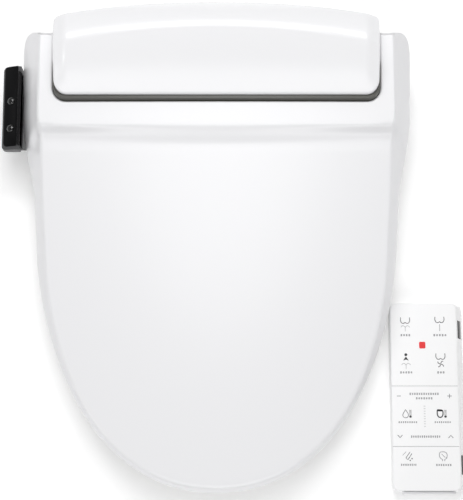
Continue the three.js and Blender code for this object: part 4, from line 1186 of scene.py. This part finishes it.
def rack_outline():
    """The toothed rack along a nozzle's underside: straight flanks, cut by the circular pitch."""
    half = (math.pi - 0.3) / 4
    lean = math.tan(math.radians(20))
    tip, valley = RACK_LINE - 0.7, RACK_LINE + 1.25
    root, crest = half + 1.25 * lean, half - 0.7 * lean
    tooth = [(-root, valley), (-crest, tip), (crest, tip), (root, valley)]
    points = []
    for k in range(-1, RACK_TEETH - 1):
        middle = RACK_AT + k * math.pi
        points += [(middle + y, z) for y, z in tooth]
    start, end = points[0][0] - 1.5, points[-1][0] + 0.5
    return [(start, valley), *points, (end, valley), (end, -4), (start, -4)]


def build_nozzle(node, body, holes):
    """A round wand with a rounded tip, a groove, a rack below and small jets above."""
    tip = [(0.6, 0), (2.2, 0.1), (3.6, 0.8), (4.7, 2.1), (5.25, 4.0), (NOZZLE_R, 6.5)]
    groove = [(NOZZLE_R, 21), (5.15, 21.3), (5.15, 22.2), (NOZZLE_R, 22.5)]
    profile = [*tip, *groove, (NOZZLE_R, NOZZLE_LENGTH - 0.6), (5.0, NOZZLE_LENGTH)]
    tube = turned("tube", profile, sides=64)
    tube.data.transform(TO_REAR)
    for hx, hy in holes:
        carve(tube, turned("jet", [(0.55, 3), (0.55, 5.0), (1.0, 6.0)], (hx, hy, 0), sides=20))
    carve(tube, prism("rack", rack_outline(), -RACK_WIDTH / 2, RACK_WIDTH / 2, "x"), operation="UNION")
    tube.data.transform(slope_frame(middle_of(node)[0]))
    smooth(tube.data, 35)
    tube.name = f"{node}_wand"
    finish_piece(tube, body, "white_gloss", node)


REAR_JETS = [(-1.2, 9), (1.2, 9), (0, 11), (-1.2, 13), (1.2, 13)]
FRONT_JETS = [(0, 8), (-2, 9.6), (2, 9.6), (-1.6, 12.2), (1.6, 12.2), (0, 13.6), (0, 10.8)]
SOFTENED = (
    ("base_tray", "tray", "main_body", "white_inner", 0.5),
    ("mounting_bracket", "bracket_plate", "bracket", "white_inner", 0.5),
    ("nozzle_guide", "nozzle_hood", "main_body", "white_inner", 0.6),
    ("dryer_duct", "air_duct", "main_body", "white_inner", 0.5),
    ("dryer_flap", "air_flap", "flap", "white_gloss", 0.25),
    ("battery_door", "battery_lid", "handset", "grey_plastic", 0.3),
)


def build_fittings():
    build_inlet()
    build_gland()
    build_release()
    build_nozzle("rear_nozzle", "rear_wand", REAR_JETS)
    build_nozzle("front_nozzle", "front_wand", FRONT_JETS)
    for side in ("left", "right"):
        low, high = span(f"hinge_pin_{side}")
        pin = rod(f"pin_{side}", 5, low[0], high[0], HINGE_Y, HINGE_Z, "x", 48)
        bevelled(pin, 0.6, 2)
        finish_piece(pin, "main_body", "steel", f"hinge_pin_{side}")
    for row in SOFTENED:
        softened(*row)


# ------------------------------------------------------------------ camera, light, floor

CAMERA_HEIGHT_DEG = 79.0
CAMERA_DISTANCE = 1.5
PIXELS_PER_METRE = 977.0
IMAGE_WIDTH, SENSOR_WIDTH = 463, 36
AIM = Vector((0.0155, -0.188, 0.070))
SKY_LOW, SKY_HIGH = 0.62, 0.14
FLOOR_HALF = 6000


def build_camera():
    camera = linked("camera", bpy.data.cameras.new("camera"))
    tilt = math.radians(CAMERA_HEIGHT_DEG)
    back = Vector((0, -math.cos(tilt), math.sin(tilt)))
    camera.location = AIM + back * CAMERA_DISTANCE
    camera.rotation_euler = (math.pi / 2 - tilt, 0, 0)
    camera.data.sensor_fit = "HORIZONTAL"
    camera.data.sensor_width = SENSOR_WIDTH
    camera.data.lens = SENSOR_WIDTH * PIXELS_PER_METRE * CAMERA_DISTANCE / IMAGE_WIDTH
    camera.data.clip_start = 0.01
    bpy.context.scene.camera = camera


def area_light(name, size, power, place, aim):
    light = bpy.data.lights.new(name, "AREA")
    light.shape = "ELLIPSE"
    light.size, light.size_y = size
    light.energy = power
    obj = linked(name, light)
    obj.location = place
    direction = Vector(aim) - Vector(place)
    obj.rotation_euler = direction.to_track_quat("-Z", "Y").to_euler()


def build_stage():
    corners = [(-1, -1, 0), (1, -1, 0), (1, 1, 0), (-1, 1, 0)]
    floor = mesh_object("floor", np.array(corners) * FLOOR_HALF, [(0, 1, 2, 3)])
    floor.data.materials.append(FLOOR)
    world = bpy.data.worlds.new("world")
    world.use_nodes = True
    tree = world.node_tree
    background = tree.nodes["Background"]
    place = new_node(tree, "ShaderNodeTexCoord")
    split = new_node(tree, "ShaderNodeSeparateXYZ")
    fade = new_node(tree, "ShaderNodeMapRange", To_Min=SKY_LOW, To_Max=SKY_HIGH)
    tree.links.new(place.outputs["Generated"], split.inputs["Vector"])
    tree.links.new(split.outputs["Z"], fade.inputs["Value"])
    tree.links.new(fade.outputs["Result"], background.inputs["Strength"])
    background.inputs["Color"].default_value = (1, 1, 1, 1)
    bpy.context.scene.world = world
    area_light("centre_overhead", (0.7, 1.0), 7.8, (0, 0.15, 2.0), (0, -0.05, 0.05))
    area_light("rear_overhead", (2.0, 0.5), 22.0, (0, 1.0, 2.0), (0, 0.03, 0.12))
    area_light("front", (1.6, 0.8), 8.2, (0, -1.5, 1.2), (0, -0.15, 0.05))
    area_light("key_left", (0.1, 0.1), 1.2, (-0.95, -0.9, 1.5), (-0.2, 0, 0.06))
    bpy.context.scene.view_settings.view_transform = "Standard"


build_camera()
build_stage()
build_lid()
build_panel()
build_trim()
build_seat()
build_bumpers()
build_housing()
build_side_covers()
build_pod()
build_handset()
build_holder()
build_fittings()

for part in frame["record"]["subparts"]:
    node = frame["nodes"][part["node"]]
    node.data.materials.clear()
    node.data.materials.append(LOOK_OF_SLOT[part["material_slot"]])
